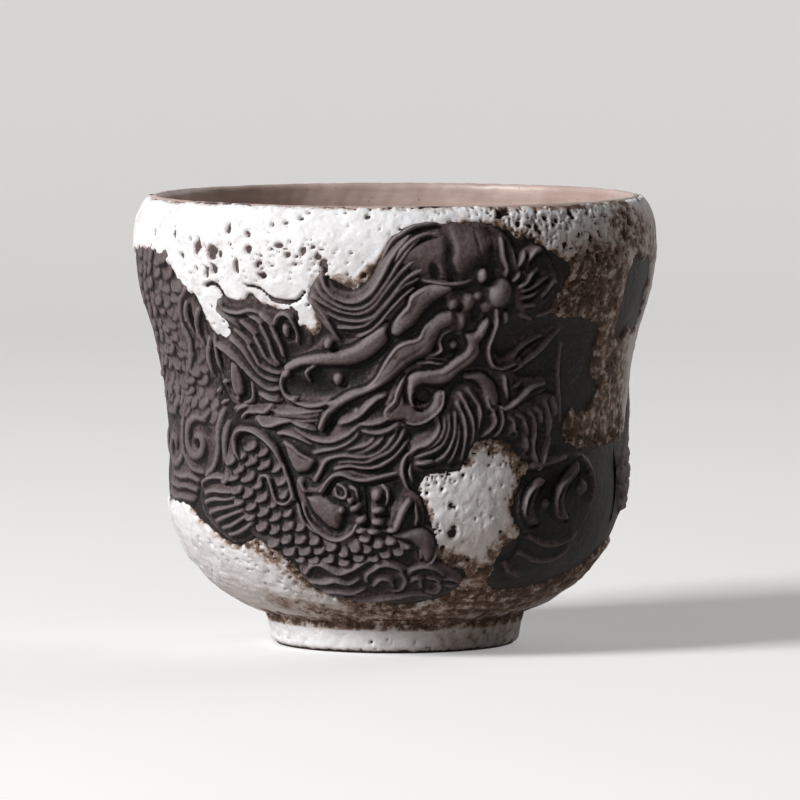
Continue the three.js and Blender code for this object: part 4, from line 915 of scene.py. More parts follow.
# The beard
# A luted leaf with tapering locks that hang in arcs from the jaw and turn left at their tips,
# shorter to the right.
beard = Sprig(-1, 47, 25.5, 41)
beard.slab([(24, 38.6), (18, 39.8), (14, 39.2), (12, 36.2), (10, 34.2), (3, 31.6), (2, 29), (4.6, 27.2),
            (11, 27.4), (17, 27.6), (20, 31.4), (25, 31.8), (30, 31.6), (35, 30.6), (38, 26.4),
            (40.6, 28.4), (42.6, 33), (43.6, 37), (38, 38), (33, 36.8), (28, 35.8)], 0.25, 0.8)
for lock in (
    [(10.2, 34.9), (10.7, 33.6), (9.6, 32.1), (7.6, 31.1), (5.2, 30.6), (3.4, 29.6)],
    [(11.9, 35), (11.9, 33.4), (10.8, 31.9), (8.8, 30.8), (6.2, 30.1)],
    [(12.9, 35.4), (13, 33.4), (11.8, 31.4), (9.7, 30.3), (7, 29.7), (4.4, 29.3)],
    [(14.5, 35.6), (14.5, 33), (13.4, 30.8), (11.8, 29.4), (9.6, 28.6)],
    [(15.3, 34.2), (15.4, 32), (14.4, 29.8), (13.2, 28.6)],
    [(15, 37), (16.6, 35.2), (17.3, 33), (17, 31), (16.4, 29)],
    [(15.6, 38.3), (17.4, 36.6), (18.8, 34.9), (19.3, 32.9), (18.8, 31)],
    [(17.4, 38.9), (19.6, 37.2), (20.9, 35.8), (20.6, 33.9), (20, 32.6)],
    [(22.4, 38.2), (23.1, 36.5), (24.3, 35.5), (24.9, 34.3), (24.3, 33.4), (23, 32.7), (21.8, 32.2)],
    [(26.4, 35.8), (26.8, 34.4), (26.2, 33), (25, 32)],
    [(28.4, 34.8), (29.8, 34), (30.1, 33), (31.6, 31.9)],
    [(31, 35), (32.4, 34.4), (33.6, 33.2), (34.2, 32)],
    [(34.4, 35.3), (35.8, 34.1), (36.2, 32.4), (35.8, 30.6), (36.8, 28.9), (38, 27.6)],
    [(36.4, 35.8), (37.6, 34.8), (38.2, 33.6)],
    [(38.9, 36.8), (40, 35.1), (40.7, 33.3), (40.4, 31.6)],
    [(41.2, 36.9), (42, 35.9), (42.6, 34.6)],
    [(40.9, 31.4), (39.8, 29.7), (39.1, 28), (38, 26.8)],
    [(33.4, 31.8), (34.2, 30.8), (34.6, 29.6)],
    [(9, 28.7), (7, 28.4), (5, 28.5)],
):
    beard.fold(lock, 1.15, 1.05, 0.4, (0.55, 0.1))
beard.fire("beard_relief", "beard")


# The claw
# A sprig with a smooth rounded palm under a wavy brow, ringed toes on its right, and one toe's nail
# that reaches over the slip.
claw = Sprig(-27, 9, 16.8, 28.6)
claw.slab([(1.6, 27.4), (-6, 26.9), (-13, 27.6), (-18, 25.6), (-21, 25), (-24.8, 26.4), (-24.8, 24),
           (-23, 21.6), (-20, 19), (-15, 17.3), (-10, 17.6), (-6, 18.2), (1, 18.6), (6.2, 18.8), (7.6, 21),
           (6.4, 23.6), (3.6, 25.2)], 0.3, 0.8)
# The wavy brow over the claw, the palm, and the fold round its heel.
claw.roll([(-23.6, 25.8), (-22.2, 24.4), (-20, 23.9), (-18, 24.3), (-16.4, 25.6), (-15, 26.5), (-13, 26.8),
           (-11.4, 26.5), (-9.6, 26.1), (-7, 26), (-4, 26.4), (-1.4, 26.8), (0.4, 27.1)],
          1.0, 1.45, (0.5, 0.3))
claw.plate([(-21.9, 23.7), (-20.6, 22), (-18.6, 20.6), (-16, 19.4), (-13.6, 19.1), (-12.3, 20.4),
            (-12.2, 22), (-13.8, 22.9), (-15.4, 23.4), (-17.4, 23.8), (-20, 23.9)], 1.05, 1.7)
claw.roll([(-23, 22.6), (-21.4, 20.4), (-19, 18.9), (-16.6, 18), (-14, 17.8), (-12, 18.2), (-10.3, 18.9),
           (-9.4, 19.9)], 0.85, 1.2, (0.4, 0.4))
# The rings and knuckles of the toes, the grooves between them, and the nail.
claw.cut([(-15.8, 25.6), (-16.1, 24), (-14.6, 22.9)], 0.9, 0.35)
for ring in (
    [(-14, 25.5), (-12.4, 25), (-11.5, 24.2), (-12.3, 23.5), (-14, 23.9), (-14.6, 24.8)],
    [(-10.8, 25.2), (-9.2, 24.6), (-8.8, 23.6)],
    [(-3, 25.4), (-1.6, 24.4), (-2, 22.8)],
    [(4.8, 22.8), (5.3, 21.2), (5, 19.9)],
):
    claw.roll(ring, 0.75, 1.15, (0.5, 0.4))
for angle, height, wide, tall, turn in (
    (-9.4, 22.3, 2.1, 1.495, 25), (-8, 20.6, 1.96, 1.265, 15), (-8.1, 19.1, 1.96, 0.92, 10),
    (-4.2, 24, 1.96, 2.185, 0), (-4, 21.9, 2.1, 1.0925, 5), (-4.1, 20.3, 2.1, 1.2075, -8),
    (-5.2, 19, 2.24, 0.92, 0), (-0.6, 19.2, 1.96, 0.92, 0), (-10.6, 23.2, 1.4, 1.495, 20),
    (-12.8, 21.9, 1.26, 1.15, 0),
):
    claw.knob(angle, height, wide, tall, 1.3, turn, 0.8)
claw.cut([(-6.7, 25.2), (-6.4, 22.6), (-6.4, 19.6)], 0.8, 0.45)
claw.cut([(-1.4, 22.6), (-1.8, 20.4)], 0.8, 0.4)
claw.roll([(3.4, 23.2), (2, 21.9), (1, 20.5), (0.4, 19.7)], 1.6, 1.6, (0.6, 0.7), 0.6)
claw.fire("claw_relief", "dragon_claw")


# The scaled body
# A sprig with a broad coil at the left under a smooth rim, then a narrow length along the bottom. Each
# scale is a low shell pressed with a rounded tool, with its lower edge standing free.
def scale(sprig, angle, height, wide, tall, turn, rise=1.05):
    """One scale, highest at its lower edge, with a line pressed under it. It laps over its place."""
    lap_wide, lap_tall, squareness = 1.28, 1.4, 2.6
    line_at, line_width, line_depth = 1.08, 0.13, 0.3
    u, v = sprig.across(angle, height, lap_wide * wide, lap_tall * tall, turn)
    reach = np.abs(u) ** squareness + np.abs(v) ** squareness
    shell = np.clip((1 - reach) * 2.2, 0, 1) ** 0.8 * np.clip(0.6 + 0.2 * u - 0.45 * v, 0.12, 1.1)
    sprig.raised = np.maximum(sprig.raised, rise * shell)
    line = np.exp(-(((np.sqrt(reach) - line_at) / line_width) ** 2)) * (v < 0.3)
    sprig.carved = np.maximum(sprig.carved, line_depth * min(rise, 1) * line)


coil = Sprig(-49, 12, 12.4, 35)
coil.slab([(-41, 33.6), (-44.6, 32), (-46.6, 28.6), (-47, 25), (-44.4, 21.6), (-38, 17.2), (-30, 14.8),
           (-22, 14.2), (-14, 14), (-6, 14.8), (4, 13.6), (9.6, 13.6), (11.4, 16.6), (9, 19.8), (3, 19.4),
           (-4, 17.9), (-11, 18.4), (-16, 17.6), (-20, 18.8), (-23, 21), (-25, 23.6), (-27, 27),
           (-29.6, 30.6), (-34, 33)], 0.35, 0.9)
for spot in (
    (-37.8, 30.7, 2.3, 1.7, 12), (-34.4, 29.9, 2.2, 1.6, 15), (-40.8, 29.2, 1.8, 1.5, 20),
    (-38.0, 28.6, 2.5, 1.8, 15), (-34.0, 28.1, 2.4, 1.7, 18), (-30.4, 27.8, 2.1, 1.7, 25),
    (-41.6, 27.2, 2.0, 1.5, 15), (-44.4, 28.3, 2.0, 1.5, 15), (-43.6, 26.1, 2.5, 1.6, 8),
    (-38.8, 26.2, 2.6, 1.7, 10), (-35.6, 25.2, 1.8, 1.5, 10), (-28.8, 25.8, 1.7, 1.4, 20),
    (-46.5, 25.6, 1.9, 1.5, 5), (-42.2, 24.3, 2.1, 1.5, 12), (-38.7, 24.0, 2.2, 1.7, 15),
    (-34.6, 23.4, 2.3, 1.5, 12), (-28.2, 24.0, 1.4, 1.5, 0), (-41.4, 22.6, 1.7, 1.3, 0),
    (-37.8, 22.1, 2.1, 1.4, 12), (-34.3, 21.5, 2.3, 1.6, 18), (-31.2, 22.6, 1.6, 1.3, 10),
    (-30.8, 20.9, 2.1, 1.5, 15), (-27.4, 21.4, 1.8, 1.3, 10), (-38.2, 20.6, 1.8, 1.3, 10),
    (-34.9, 19.4, 2.1, 1.5, 18), (-31.4, 19.1, 2.0, 1.5, 18), (-27.6, 19.6, 2.2, 1.4, 14),
    (-24.2, 19.5, 1.9, 1.2, 10), (-28.4, 17.8, 2.0, 1.4, 12), (-24.4, 17.9, 2.1, 1.4, 14),
    (-32.2, 17.1, 2.0, 1.3, 15), (-20.6, 17.8, 1.8, 1.3, 8), (-28.0, 16.0, 2.0, 1.2, 12),
    (-23.6, 16.2, 2.0, 1.2, 12), (-19.8, 16.4, 1.9, 1.2, 16), (-25.4, 14.9, 1.6, 1.0, 8),
    (-21.6, 14.9, 1.7, 1.0, 6), (-17.4, 15.2, 1.7, 1.1, 8), (-16.4, 17.0, 1.9, 1.3, 10),
    (-13.2, 16.3, 1.5, 1.5, 4), (-13.4, 14.7, 1.6, 1.0, 5), (-10.2, 17.1, 1.6, 1.6, 14),
    (-9.4, 15.5, 1.6, 1.2, 16), (-7.2, 16.8, 1.5, 1.2, 10), (-7.4, 18.3, 1.5, 1.2, 0),
    (-5.6, 15.5, 1.5, 1.2, 12), (-4.4, 17.5, 1.6, 1.3, 14), (-2.6, 16.1, 1.6, 1.3, 10),
    (-1.4, 17.9, 1.6, 1.2, 16), (0.6, 16.5, 1.6, 1.4, 12), (2.6, 17.4, 1.5, 1.4, 14),
):
    scale(coil, *spot)
# The smooth turn at the right end, then the rim over the scales and the roll inside it.
coil.plate([(-0.6, 18.4), (3, 19.3), (7, 19.4), (9.6, 18.2), (10.6, 16.2), (9.4, 14.6), (7, 15), (6, 16.6),
            (3.4, 17.6)], 0.9, 1.4)
coil.roll([(10.8, 17), (10.2, 15.4), (8.8, 14.4), (6.6, 14)], 0.8, 1.15)
coil.roll([(6.2, 16.6), (6.6, 15.6), (6.4, 14.8)], 0.7, 0.8)
coil.roll([(-41.2, 28.7), (-42.1, 30), (-41.9, 31.6), (-40.4, 32.6), (-38, 32.8), (-36, 32.6), (-34, 32),
           (-32, 31.2), (-30, 30.1), (-28.6, 28.8), (-27.3, 27.2), (-26.4, 25.8), (-25.6, 24.5),
           (-25, 23.2)], 1.15, 1.6, (0.6, 0.6))
coil.roll([(-24.8, 23.6), (-23.9, 22), (-22.8, 20.4), (-20.6, 19.1), (-18, 18.3), (-15, 17.8)],
          0.7, 1.1, (0.5, 0.4))
coil.roll([(-35.2, 25.4), (-34, 26.2), (-32.4, 26.2), (-31.3, 25.2), (-30.5, 24), (-29.6, 22.9),
           (-28, 22.4), (-26.4, 22.8), (-25.4, 23.6)], 0.85, 1.45, (0.5, 0.5))
coil.fire("scaled_coil_relief", "scaled_coil")


# The swirl beside the coil
# A thin luted leaf with fine combed strokes that bend round the left of the body.
swirl = Sprig(-60, -36, 15.4, 28)
swirl.slab([(-37, 20.6), (-40.6, 22.8), (-45, 25), (-50, 25.6), (-56, 25), (-57, 21), (-52, 18),
            (-46, 16.2), (-40, 16.8), (-37, 18.4)], 0.28, 0.9)
for stroke in (
    [(-44.4, 23.6), (-47, 23.5), (-50, 23.6), (-54, 23.2)],
    [(-43.6, 22.8), (-46.4, 22.5), (-50, 22.4), (-54, 21.9)],
    [(-42.6, 21.9), (-45.6, 21.4), (-49, 21), (-52.6, 20.4)],
    [(-41, 21.1), (-43.6, 20.6), (-46.6, 20), (-50.4, 19.4)],
    [(-39, 20.6), (-41.4, 19.8), (-44.4, 19), (-48.4, 18.5)],
    [(-37.6, 19.6), (-40, 18.7), (-43, 18), (-46.6, 17.6)],
    [(-46, 25.2), (-48.6, 25.5), (-52, 25.3), (-55.4, 24.6)],
):
    swirl.fold(stroke, 0.95, 1.0, 0.35, (0.35, 0.25))
swirl.fire("swirl_relief", "swirl")


# The clouds at the left
# Two leaves of the same clay on the side of the wall, with broad scrolls, low and worn, over one
# another like the ends of clouds.
def scroll(sprig, angle, height, size, turn, rise, width, curl, flip=1):
    """A cloud's end: a roll that winds inwards."""
    t = np.linspace(0, 1, 14)
    bend = math.radians(turn) + flip * t * math.tau * curl
    reach = size * (1 - 0.82 * t)
    angles = angle + np.degrees(reach * np.cos(bend) / mean_radius)
    levels = level_of(along_wall(height) + reach * np.sin(bend))
    sprig.roll(np.stack([angles, levels], -1), width, rise, (0.5, 0.7))


cloud_left = Sprig(-84, -43, 17.4, 38)
cloud_left.slab([(-45.6, 34), (-48, 36), (-56, 36.8), (-66, 36.6), (-75, 35), (-80, 31.6), (-80, 25),
                 (-77, 21.6), (-68, 20.6), (-60, 21), (-56, 24), (-48.6, 25), (-45.8, 28)], 0.3, 2.0)
scroll(cloud_left, -57.4, 30.4, 3.7, 60, 0.7, 2.4, 1.1)
scroll(cloud_left, -70.6, 29.4, 3.2, -10, 0.6, 2.3, 0.9, -1)
cloud_left.dimple(-57.4, 30.2, 2.2, 1.8, 0.35)
for stroke in (
    [(-46.8, 35), (-48.4, 32.4), (-48.6, 29.6), (-50.4, 27.2), (-53.6, 25.6)],
    [(-45.4, 33.4), (-46.4, 30.6), (-46.6, 28)],
    [(-63.4, 34.4), (-64.6, 31.4), (-63.6, 28.4), (-60, 26.4), (-55.4, 26)],
    [(-78, 31), (-76, 28.6), (-72, 27), (-67, 26.4)],
    [(-57.6, 24.8), (-61, 25.2), (-66, 25), (-72, 25.4)],
    [(-58.6, 23.4), (-63, 23.8), (-68, 23.6), (-74, 24)],
    [(-60.4, 22), (-65, 22.2), (-70, 22), (-75, 22.6)],
):
    cloud_left.fold(stroke, 0.65, 1.5, 0.55, (0.4, 0.3))
chance = np.random.default_rng(72)
for angle in np.arange(-51, -80, -3.6):
    for level in (36.4, 34.9):
        place = (angle + chance.uniform(-1, 1), level + chance.uniform(-0.5, 0.3))
        size = (chance.uniform(1.8, 2.8), chance.uniform(1.2, 1.8))
        scale(cloud_left, *place, *size, chance.uniform(-20, 50), chance.uniform(0.3, 0.5))
# Painted light over the whole sprig: its clay is paler, for the side that faces the window.
cloud_left.fire("cloud_left_relief", "cloud_left", shade=-0.12)

cloud_high = Sprig(-90, -44, 35.6, 60)
cloud_high.slab([(-46.6, 41), (-48.4, 46), (-50.4, 51), (-53, 56), (-60, 58.6), (-76, 59), (-86, 56),
                 (-87, 42), (-80, 37.6), (-64, 36.6), (-52, 36.6), (-47.6, 38)], 0.25, 2.0)
chance = np.random.default_rng(71)
for row, level in enumerate(np.arange(37.6, 57, 1.9)):
    start = -52 if level < 47 else -53.5 - (level - 47) * 0.7
    for angle in np.arange(start - (2.1 if row % 2 else 0), -80, -4.2):
        place = (angle + chance.uniform(-1, 1), level + chance.uniform(-0.5, 0.5))
        size = (chance.uniform(1.9, 3.2), chance.uniform(1.3, 2.0))
        scale(cloud_high, *place, *size, chance.uniform(-30, 40), chance.uniform(0.25, 0.5))
cloud_high.fold([(-52.6, 52.6), (-56, 50.6), (-57.4, 47.6), (-56, 45), (-57.6, 42), (-60.6, 39.6)],
                0.6, 1.8, 0.5, (0.4, 0.3))
for stroke in (
    [(-50.2, 49.6), (-51.4, 47.8), (-51.8, 46), (-50.6, 44.6)],
    [(-48.6, 45.6), (-49.6, 43), (-49.2, 40.6)],
    [(-53.8, 50.6), (-54.6, 48.6), (-54.2, 46.6)],
):
    cloud_high.roll(stroke, 1.2, 0.75, (0.4, 0.4))
cloud_high.cut([(-53, 50), (-53.2, 48.4), (-53, 46.8)], 1.1, 0.5)
# Painted light over the whole sprig: its clay is paler, for the side that faces the window.
cloud_high.fire("cloud_high_relief", "cloud_high", shade=-0.12)


# The clouds above the foot
# A luted leaf with a bank of scrolls that fills the low curve between the body and the white slip.
cloud_low = Sprig(-30, 22, 7.4, 16)
cloud_low.slab([(-7, 15.4), (-11, 14.4), (-16, 14), (-20, 14.9), (-25, 14.4), (-27.4, 13), (-26, 11.2),
                (-19, 8.9), (-10, 8.2), (0, 7.9), (8, 8.3), (14, 8.8), (19, 10.4), (19.6, 12), (14, 14.2),
                (9, 14.6), (4, 14), (0, 15)], 0.35, 0.8)
for lock in (
    [(-25, 12.8), (-22.4, 14), (-20, 14.3), (-17.6, 13.7), (-15, 13.1), (-12, 13.5), (-10, 14), (-8, 14.7),
     (-5.6, 15.3)],
    [(-7.8, 11.9), (-7.4, 13), (-5.2, 13.8), (-3.8, 14.3), (-1, 14.3), (1.6, 13.6), (3, 12.2), (2, 10.9),
     (-0.6, 10.5)],
    [(-6, 11.3), (-4.6, 12.1), (-3, 12.4), (-1, 12), (-0.4, 11.2)],
    [(-24, 11.6), (-20, 11.6), (-16.6, 12), (-13, 11.6), (-10, 12.3)],
    [(-20.6, 10.2), (-16.6, 10.4), (-12.6, 10.2), (-9, 10.8)],
    [(3.4, 13.2), (5.6, 13.9), (8, 14.1), (11, 13.6), (13.6, 12.6)],
    [(4, 11.8), (5.6, 12.5), (7, 12.1), (7.6, 11)],
    [(9, 12.4), (11.4, 12.2), (13, 11.2), (12, 10.3), (9.4, 10.3)],
    [(-12, 9), (-6, 9.2), (0, 9.6), (6, 10), (11, 9.6)],
    [(13.6, 12.2), (16, 12.2), (18.4, 11.4)],
):
    cloud_low.fold(lock, 1.1, 1.1, 0.4, (0.4, 0.4))
cloud_low.knob(16, 11.2, 2.2, 0.9, 0.9, -10)
cloud_low.dimple(-13.5, 9.3, 2.6, 1.0, 0.4)
cloud_low.fire("cloud_low_relief", "cloud_low")


# The crescents at the right
# A sprig with two curled cloud ends round dark hollows, on the side that turns away from the light.
# Painted shade darkens its clay for that side.
curls = Sprig(27, 62, 9, 31, 0.19)
curls.slab([(31, 26), (36, 28.4), (44, 29), (52, 29), (58, 27), (59, 22), (55, 18), (50, 14), (44, 12.4),
            (36, 11.6), (31, 13), (33.6, 17.4), (31, 21)], 0.3, 0.9)
# Each crescent is a plate with a roll along its outer edge.
curls.plate([(40, 25.4), (37.6, 26), (35, 25), (33, 23), (33, 20.8), (35, 19.4), (38, 19.4), (37, 21),
             (36.4, 22.4), (38, 24.2)], 0.9, 1.0)
curls.roll([(38.6, 24.9), (36.5, 24.8), (34.5, 24), (33.2, 22.6), (33.1, 21.2), (34.4, 20.2)],
           0.9, 1.35, (0.4, 0.4))
curls.plate([(51.6, 28), (48, 27.2), (44.4, 25.6), (42, 23.6), (42, 21.2), (44.6, 19.6), (48, 19.8),
             (46.6, 21.2), (46, 22.8), (48, 24.6), (51.6, 26)], 0.95, 1.1)
curls.roll([(50, 27), (46.8, 25.5), (44, 24.4), (42.5, 22.9), (43, 21.3), (45, 20.5)],
           0.95, 1.4, (0.4, 0.4))
curls.knob(39.6, 22.2, 1.6, 1.7, 0.8)
curls.knob(52.4, 24, 2.6, 2.4, 1.0)
for lock in (
    [(30.6, 13.9), (32, 13), (34, 12.6), (37, 11.8)],
    [(36, 17.6), (40, 16.6), (46, 16.4), (52, 17.4)],
    [(34.6, 15.4), (39, 14.4), (45, 14.2), (51, 15.4)],
    [(54, 28), (57, 25.4), (57.6, 22)],
    [(36, 27.4), (41, 27.8), (47, 28.4)],
):
    curls.fold(lock, 0.95, 1.3, 0.45, (0.4, 0.3))
# Painted shade over the whole sprig, for the side away from the window.
curls.fire("curls_right_relief", "curl_right", shade=0.42)


# The back of the cup
# The body comes round in one long coil under the far rim, with a fin at its end, over scrolls of
# cloud. These are sprigs from the same moulds as the front's.
back_run = [(80, 23), (94, 29), (110, 37.4), (126, 41), (142, 38.4), (156, 31.6), (170, 25), (186, 22.6),
            (202, 26), (214, 33), (226, 38.6), (238, 39.4)]
back = Sprig(74, 242, 18, 46, 0.24)
back.roll(back_run, 8.0, 0.75, (0.9, 0.9), 0.5)
back.base, back.raised = back.raised, np.zeros(back.raised.shape)
middle_line = smooth(back.laid_out(back_run), 2.0)
heading = np.gradient(middle_line, axis=0)
heading /= np.linalg.norm(heading, axis=1)[:, None]
sideways = np.stack([-heading[:, 1], heading[:, 0]], -1)


def beside(offset):
    """The back coil's run, moved sideways, as (angle, height) points."""
    edge = middle_line + sideways * offset
    radius = np.interp(edge[:, 1], wall.run, wall.line[:, 0])
    return np.stack([np.degrees(edge[:, 0] / radius) + back.middle, level_of(edge[:, 1])], -1)


for row, offset in enumerate((-2.6, -1.3, 0, 1.3, 2.6)):
    places = beside(offset)
    for (angle, height), way in list(zip(places, heading))[row % 2::2]:
        scale(back, angle, height, 2.9, 1.9, math.degrees(math.atan2(way[1], way[0])), 0.7)
for offset in (-3.9, 3.9):
    back.roll(beside(offset), 1.1, 1.1, (0.8, 0.8))
back.fire("back_coil_relief", "back_coil")

fin = Sprig(236, 258, 31, 50, 0.2)
fin.slab([(238.6, 38), (247, 35.4), (253, 33.4), (255, 40.6), (254, 48.4), (247, 45.4), (238.6, 41.6)],
         0.35, 0.9)
for lean in np.linspace(-7, 7, 8):
    root = [(239.6, 39.6 + lean * 0.12), (243, 40.2 + lean * 0.36)]
    tip = [(247.4, 40.8 + lean * 0.64), (252.4, 40.6 + lean * 0.92)]
    fin.fold([*root, *tip], 1.1, 1.3, 0.45, (0.8, 0.1))
fin.fire("tail_fin_relief", "tail_fin")

back_cloud = Sprig(107, 149, 16.6, 28.4, 0.22)
back_cloud.slab([(110, 20), (116, 18.8), (127, 18), (140, 18.2), (146, 20.6), (145, 25), (137, 27),
                 (131, 25.8), (125, 27), (117, 26), (110.6, 22.6)], 0.4, 1.0)
scroll(back_cloud, 126.5, 22.2, 3.6, 150, 1.2, 1.2, 1.5, -1)
scroll(back_cloud, 138.5, 22, 3.1, 130, 1.15, 1.1, 1.4, -1)
scroll(back_cloud, 116.4, 22, 2.4, 30, 1.1, 1.0, 1.3)
back_cloud.fold([(111, 20.6), (117, 19.6), (124, 18.8), (132, 18.7), (140, 19), (145, 20.6)],
                0.9, 1.3, 0.45, (0.4, 0.4))
back_cloud.fire("back_cloud_relief", "back_cloud")

high_cloud = Sprig(165, 208, 38, 49.6, 0.22)
high_cloud.slab([(168, 41), (176, 39.4), (186, 39.2), (198, 39.4), (204.6, 41.6), (204, 46.2), (196, 48.2),
                 (190, 47.2), (184, 48.2), (176, 47), (168.6, 43.6)], 0.4, 1.0)
scroll(high_cloud, 184.6, 43.6, 3.4, 150, 1.2, 1.2, 1.5, -1)
scroll(high_cloud, 197.4, 43.6, 2.9, 130, 1.15, 1.1, 1.4, -1)
scroll(high_cloud, 174.4, 43.2, 2.4, 30, 1.1, 1.0, 1.3)
high_cloud.fold([(169, 41.4), (176, 40.4), (186, 40), (196, 40.2), (203.6, 41.8)],
                0.9, 1.3, 0.45, (0.4, 0.4))
high_cloud.fire("high_cloud_relief", "high_cloud")


# The white slip at the rim
# Thick slip poured over the lip and left to run. It drew back as it dried, so that its edge is round
# and ragged, stained tan where it thins, and pitted down to the brown clay.
def slip_material():
    """White slip: tan where it is thin or stained, brown where it is open, chalky and finely crackled.
    Its tan is painted shade as well as stain on the right of the rim and of the base.
    """
    material, add, shader = new_material("white_slip")
    place = add("ShaderNodeTexCoord").outputs["Object"]
    stain = add("ShaderNodeAttribute", {"attribute_name": "stain"}).outputs["Fac"]
    thin = add("ShaderNodeAttribute", {"attribute_name": "thin"}).outputs["Fac"]
    whites = [(0.32, (0.60, 0.575, 0.57)), (0.48, (0.76, 0.755, 0.765)), (0.7, (0.84, 0.845, 0.87))]
    white = ramp(add, noise(add, place, 3.0, 6.0, 0.7), whites)
    blots = rising(add, noise(add, place, 1.5, 6.0, 0.66), 0.36, 0.64, 0.3, 1.5)
    stained = reckoned(add, "MULTIPLY", stain, blots, clamp=True)
    tans = [
        (0.0, (0.58, 0.51, 0.46)), (0.45, (0.37, 0.28, 0.235)), (0.75, (0.21, 0.145, 0.11)),
        (1.0, (0.085, 0.055, 0.040)),
    ]
    soaked = mixed(add, rising(add, stained, 0.12, 0.62), white, ramp(add, stained, tans))
    feed(shader["Base Color"], mixed(add, rising(add, thin, 0.35, 0.8), soaked, (0.078, 0.060, 0.048)))
    lumps = noise(add, place, 1.6, 4.0, 0.6)
    chalk = noise(add, place, 0.45, 5.0, 0.7)
    feed(shader["Normal"], bumps(add, (lumps, 0.55, 0.24), (chalk, 0.8, 0.12)))
    feed(shader["Roughness"], 0.72)
    feed(shader["Specular IOR Level"], 0.22)
    return material


class Coat:
    """A coat of slip on a turned surface. Places are (angle, height), and sizes are millimetres."""

    def __init__(self, profile, start, end, cell, level=None, radius=mean_radius):
        self.profile = profile
        self.cell = cell
        self.radius = radius
        columns = round(math.tau * (radius + 1) / cell)
        self.angle, self.along = np.meshgrid(
            np.linspace(-180, 180, columns + 1)[:-1], np.arange(start, end, cell)
        )
        self.level = level(self.along) if level else np.interp(self.along, profile.run, profile.line[:, 1])
        self.cover = np.zeros(self.angle.shape)
        self.pits = np.zeros(self.angle.shape)
        self.stain = np.zeros(self.angle.shape)
        self.worn = np.full(self.angle.shape, 0.12)
        self.rough = self.grained(31, (1.9, 0.7), (0.95, 0.6), (0.55, 0.4))
        self.specks = self.grained(41, (2.0, 0.35), (0.75, 0.6), (0.45, 0.75))

    def grained(self, seed, *swells):
        """Uneven noise from swells of several (size, share)."""
        wide = mean_radius / self.radius
        return sum(
            share * waves(self.angle, self.along * wide, size * wide, seed + i, 40)
            for i, (size, share) in enumerate(swells)
        )

    def blurred(self, field, reach):
        """A map of values spread over so many millimetres."""
        return soften(field, reach / self.cell, wrap=True)

    def aside(self, angle):
        """Millimetres round the surface from an angle to each cell."""
        return ((self.angle - angle + 180) % 360 - 180) * math.radians(self.radius)

    def pour(self, outline):
        """Covers all that lies inside an outline."""
        self.cover[within_outline(self.angle, self.level, outline)] = 1

    def bare(self, outline):
        """Leaves the clay bare inside a smooth outline."""
        closed = smooth([*outline, outline[0]], 0.5)
        self.cover[within_outline(self.angle, self.level, closed)] = 0

    def stroke(self, points, width):
        """One along the middle of a run, falling to nothing at its sides."""
        best = np.full(self.angle.shape, np.inf)
        for angle, level in smooth(points, 0.8):
            best = np.minimum(best, self.aside(angle) ** 2 + (self.level - level) ** 2)
        return np.clip(1 - best / (width / 2) ** 2, 0, 1)

    def scratch(self, points, width):
        """A line where the slip drew apart."""
        self.pits = np.maximum(self.pits, self.stroke(points, width))

    def tint(self, points, width, strength):
        """A soft stain along a run, which on the side away from the window is also painted shade."""
        self.stain = np.maximum(self.stain, strength * self.stroke(points, width) ** 0.6)

    def wear(self, points, width, strength):
        """A patch along a run where the slip is rubbed and open."""
        self.worn = np.maximum(self.worn, strength * self.stroke(points, width) ** 0.5)

    def pit(self, angle, level, wide, tall=None):
        """A pit through the slip."""
        edge, raggedness, furthest = 1.3, 0.7, 2.6
        u = self.aside(angle) / (wide / 2)
        v = (self.level - level) / ((tall or wide) / 2)
        reach = u**2 + v**2
        hole = np.clip(edge - reach + raggedness * self.rough, 0, 1) * (reach < furthest)
        self.pits = np.maximum(self.pits, hole)

    def scatter(self, count, seed, angles, levels, sizes):
        """Small pits at random over a patch."""
        chance = np.random.default_rng(seed)
        for _ in range(count):
            size = sizes[0] + (sizes[1] - sizes[0]) * chance.random() ** 2
            place = (chance.uniform(*angles), chance.uniform(*levels))
            self.pit(*place, size, size * chance.uniform(0.7, 1.5))

    def dry(self, name, node, thickness, ragged=0.16, halo=1.0):
        """Turns the poured cover into a skin with a rounded, ragged edge, pits and open patches."""
        edge_slope, hole_depth, speck_limit, lumps = 2.6, 1.9, 1.75, 0.06
        edge_stain, hole_stain, wear_stain = 0.9, 0.9, 0.18
        opened = np.clip((self.specks - speck_limit + 1.5 * self.worn) * 2.4, 0, 1)
        holes = np.maximum(self.blurred(self.pits, 0.1), opened)
        spread = self.blurred(self.cover, 0.5) + ragged * self.rough
        depth = np.clip((spread - 0.5) * edge_slope, -1, 1)
        depth = np.minimum(depth, 1 - hole_depth * np.clip(holes, 0, 1))
        lift = np.sign(depth) * np.abs(depth) ** 0.6 * thickness
        lift += lumps * self.grained(23, (5, 1), (1.6, 0.5)) * np.clip(depth, 0, 1)
        lift = self.blurred(lift, 0.12)
        near_edge = np.clip(1.0 - (self.blurred(self.cover, 1.0) - 0.5) * edge_slope, 0, 1) * halo
        near_hole = self.blurred(holes, 0.4)
        patches = np.clip(0.35 + self.grained(24, (7, 0.8), (2, 0.5)), 0, 1.2)
        stain = near_edge * patches * edge_stain + near_hole * hole_stain + self.stain
        stain = np.clip(stain + wear_stain * self.worn, 0, 1)
        thin = np.clip(1.0 - lift / (0.45 * thickness), 0, 1)

        # The map is closed round the cup with its first column, which is its last one too.
        maps = (self.angle, self.along, lift, stain, thin)
        angle, along, lift, stain, thin = (np.concatenate([m, m[:, :1]], 1) for m in maps)
        rest = unevenness(angle, along) if self.profile is wall else 0
        points = self.profile.place(angle, along, rest + lift)
        piece = sheet_mesh(name, points, touching(lift > -0.02), {"stain": stain, "thin": thin}, white_slip)
        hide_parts(node)


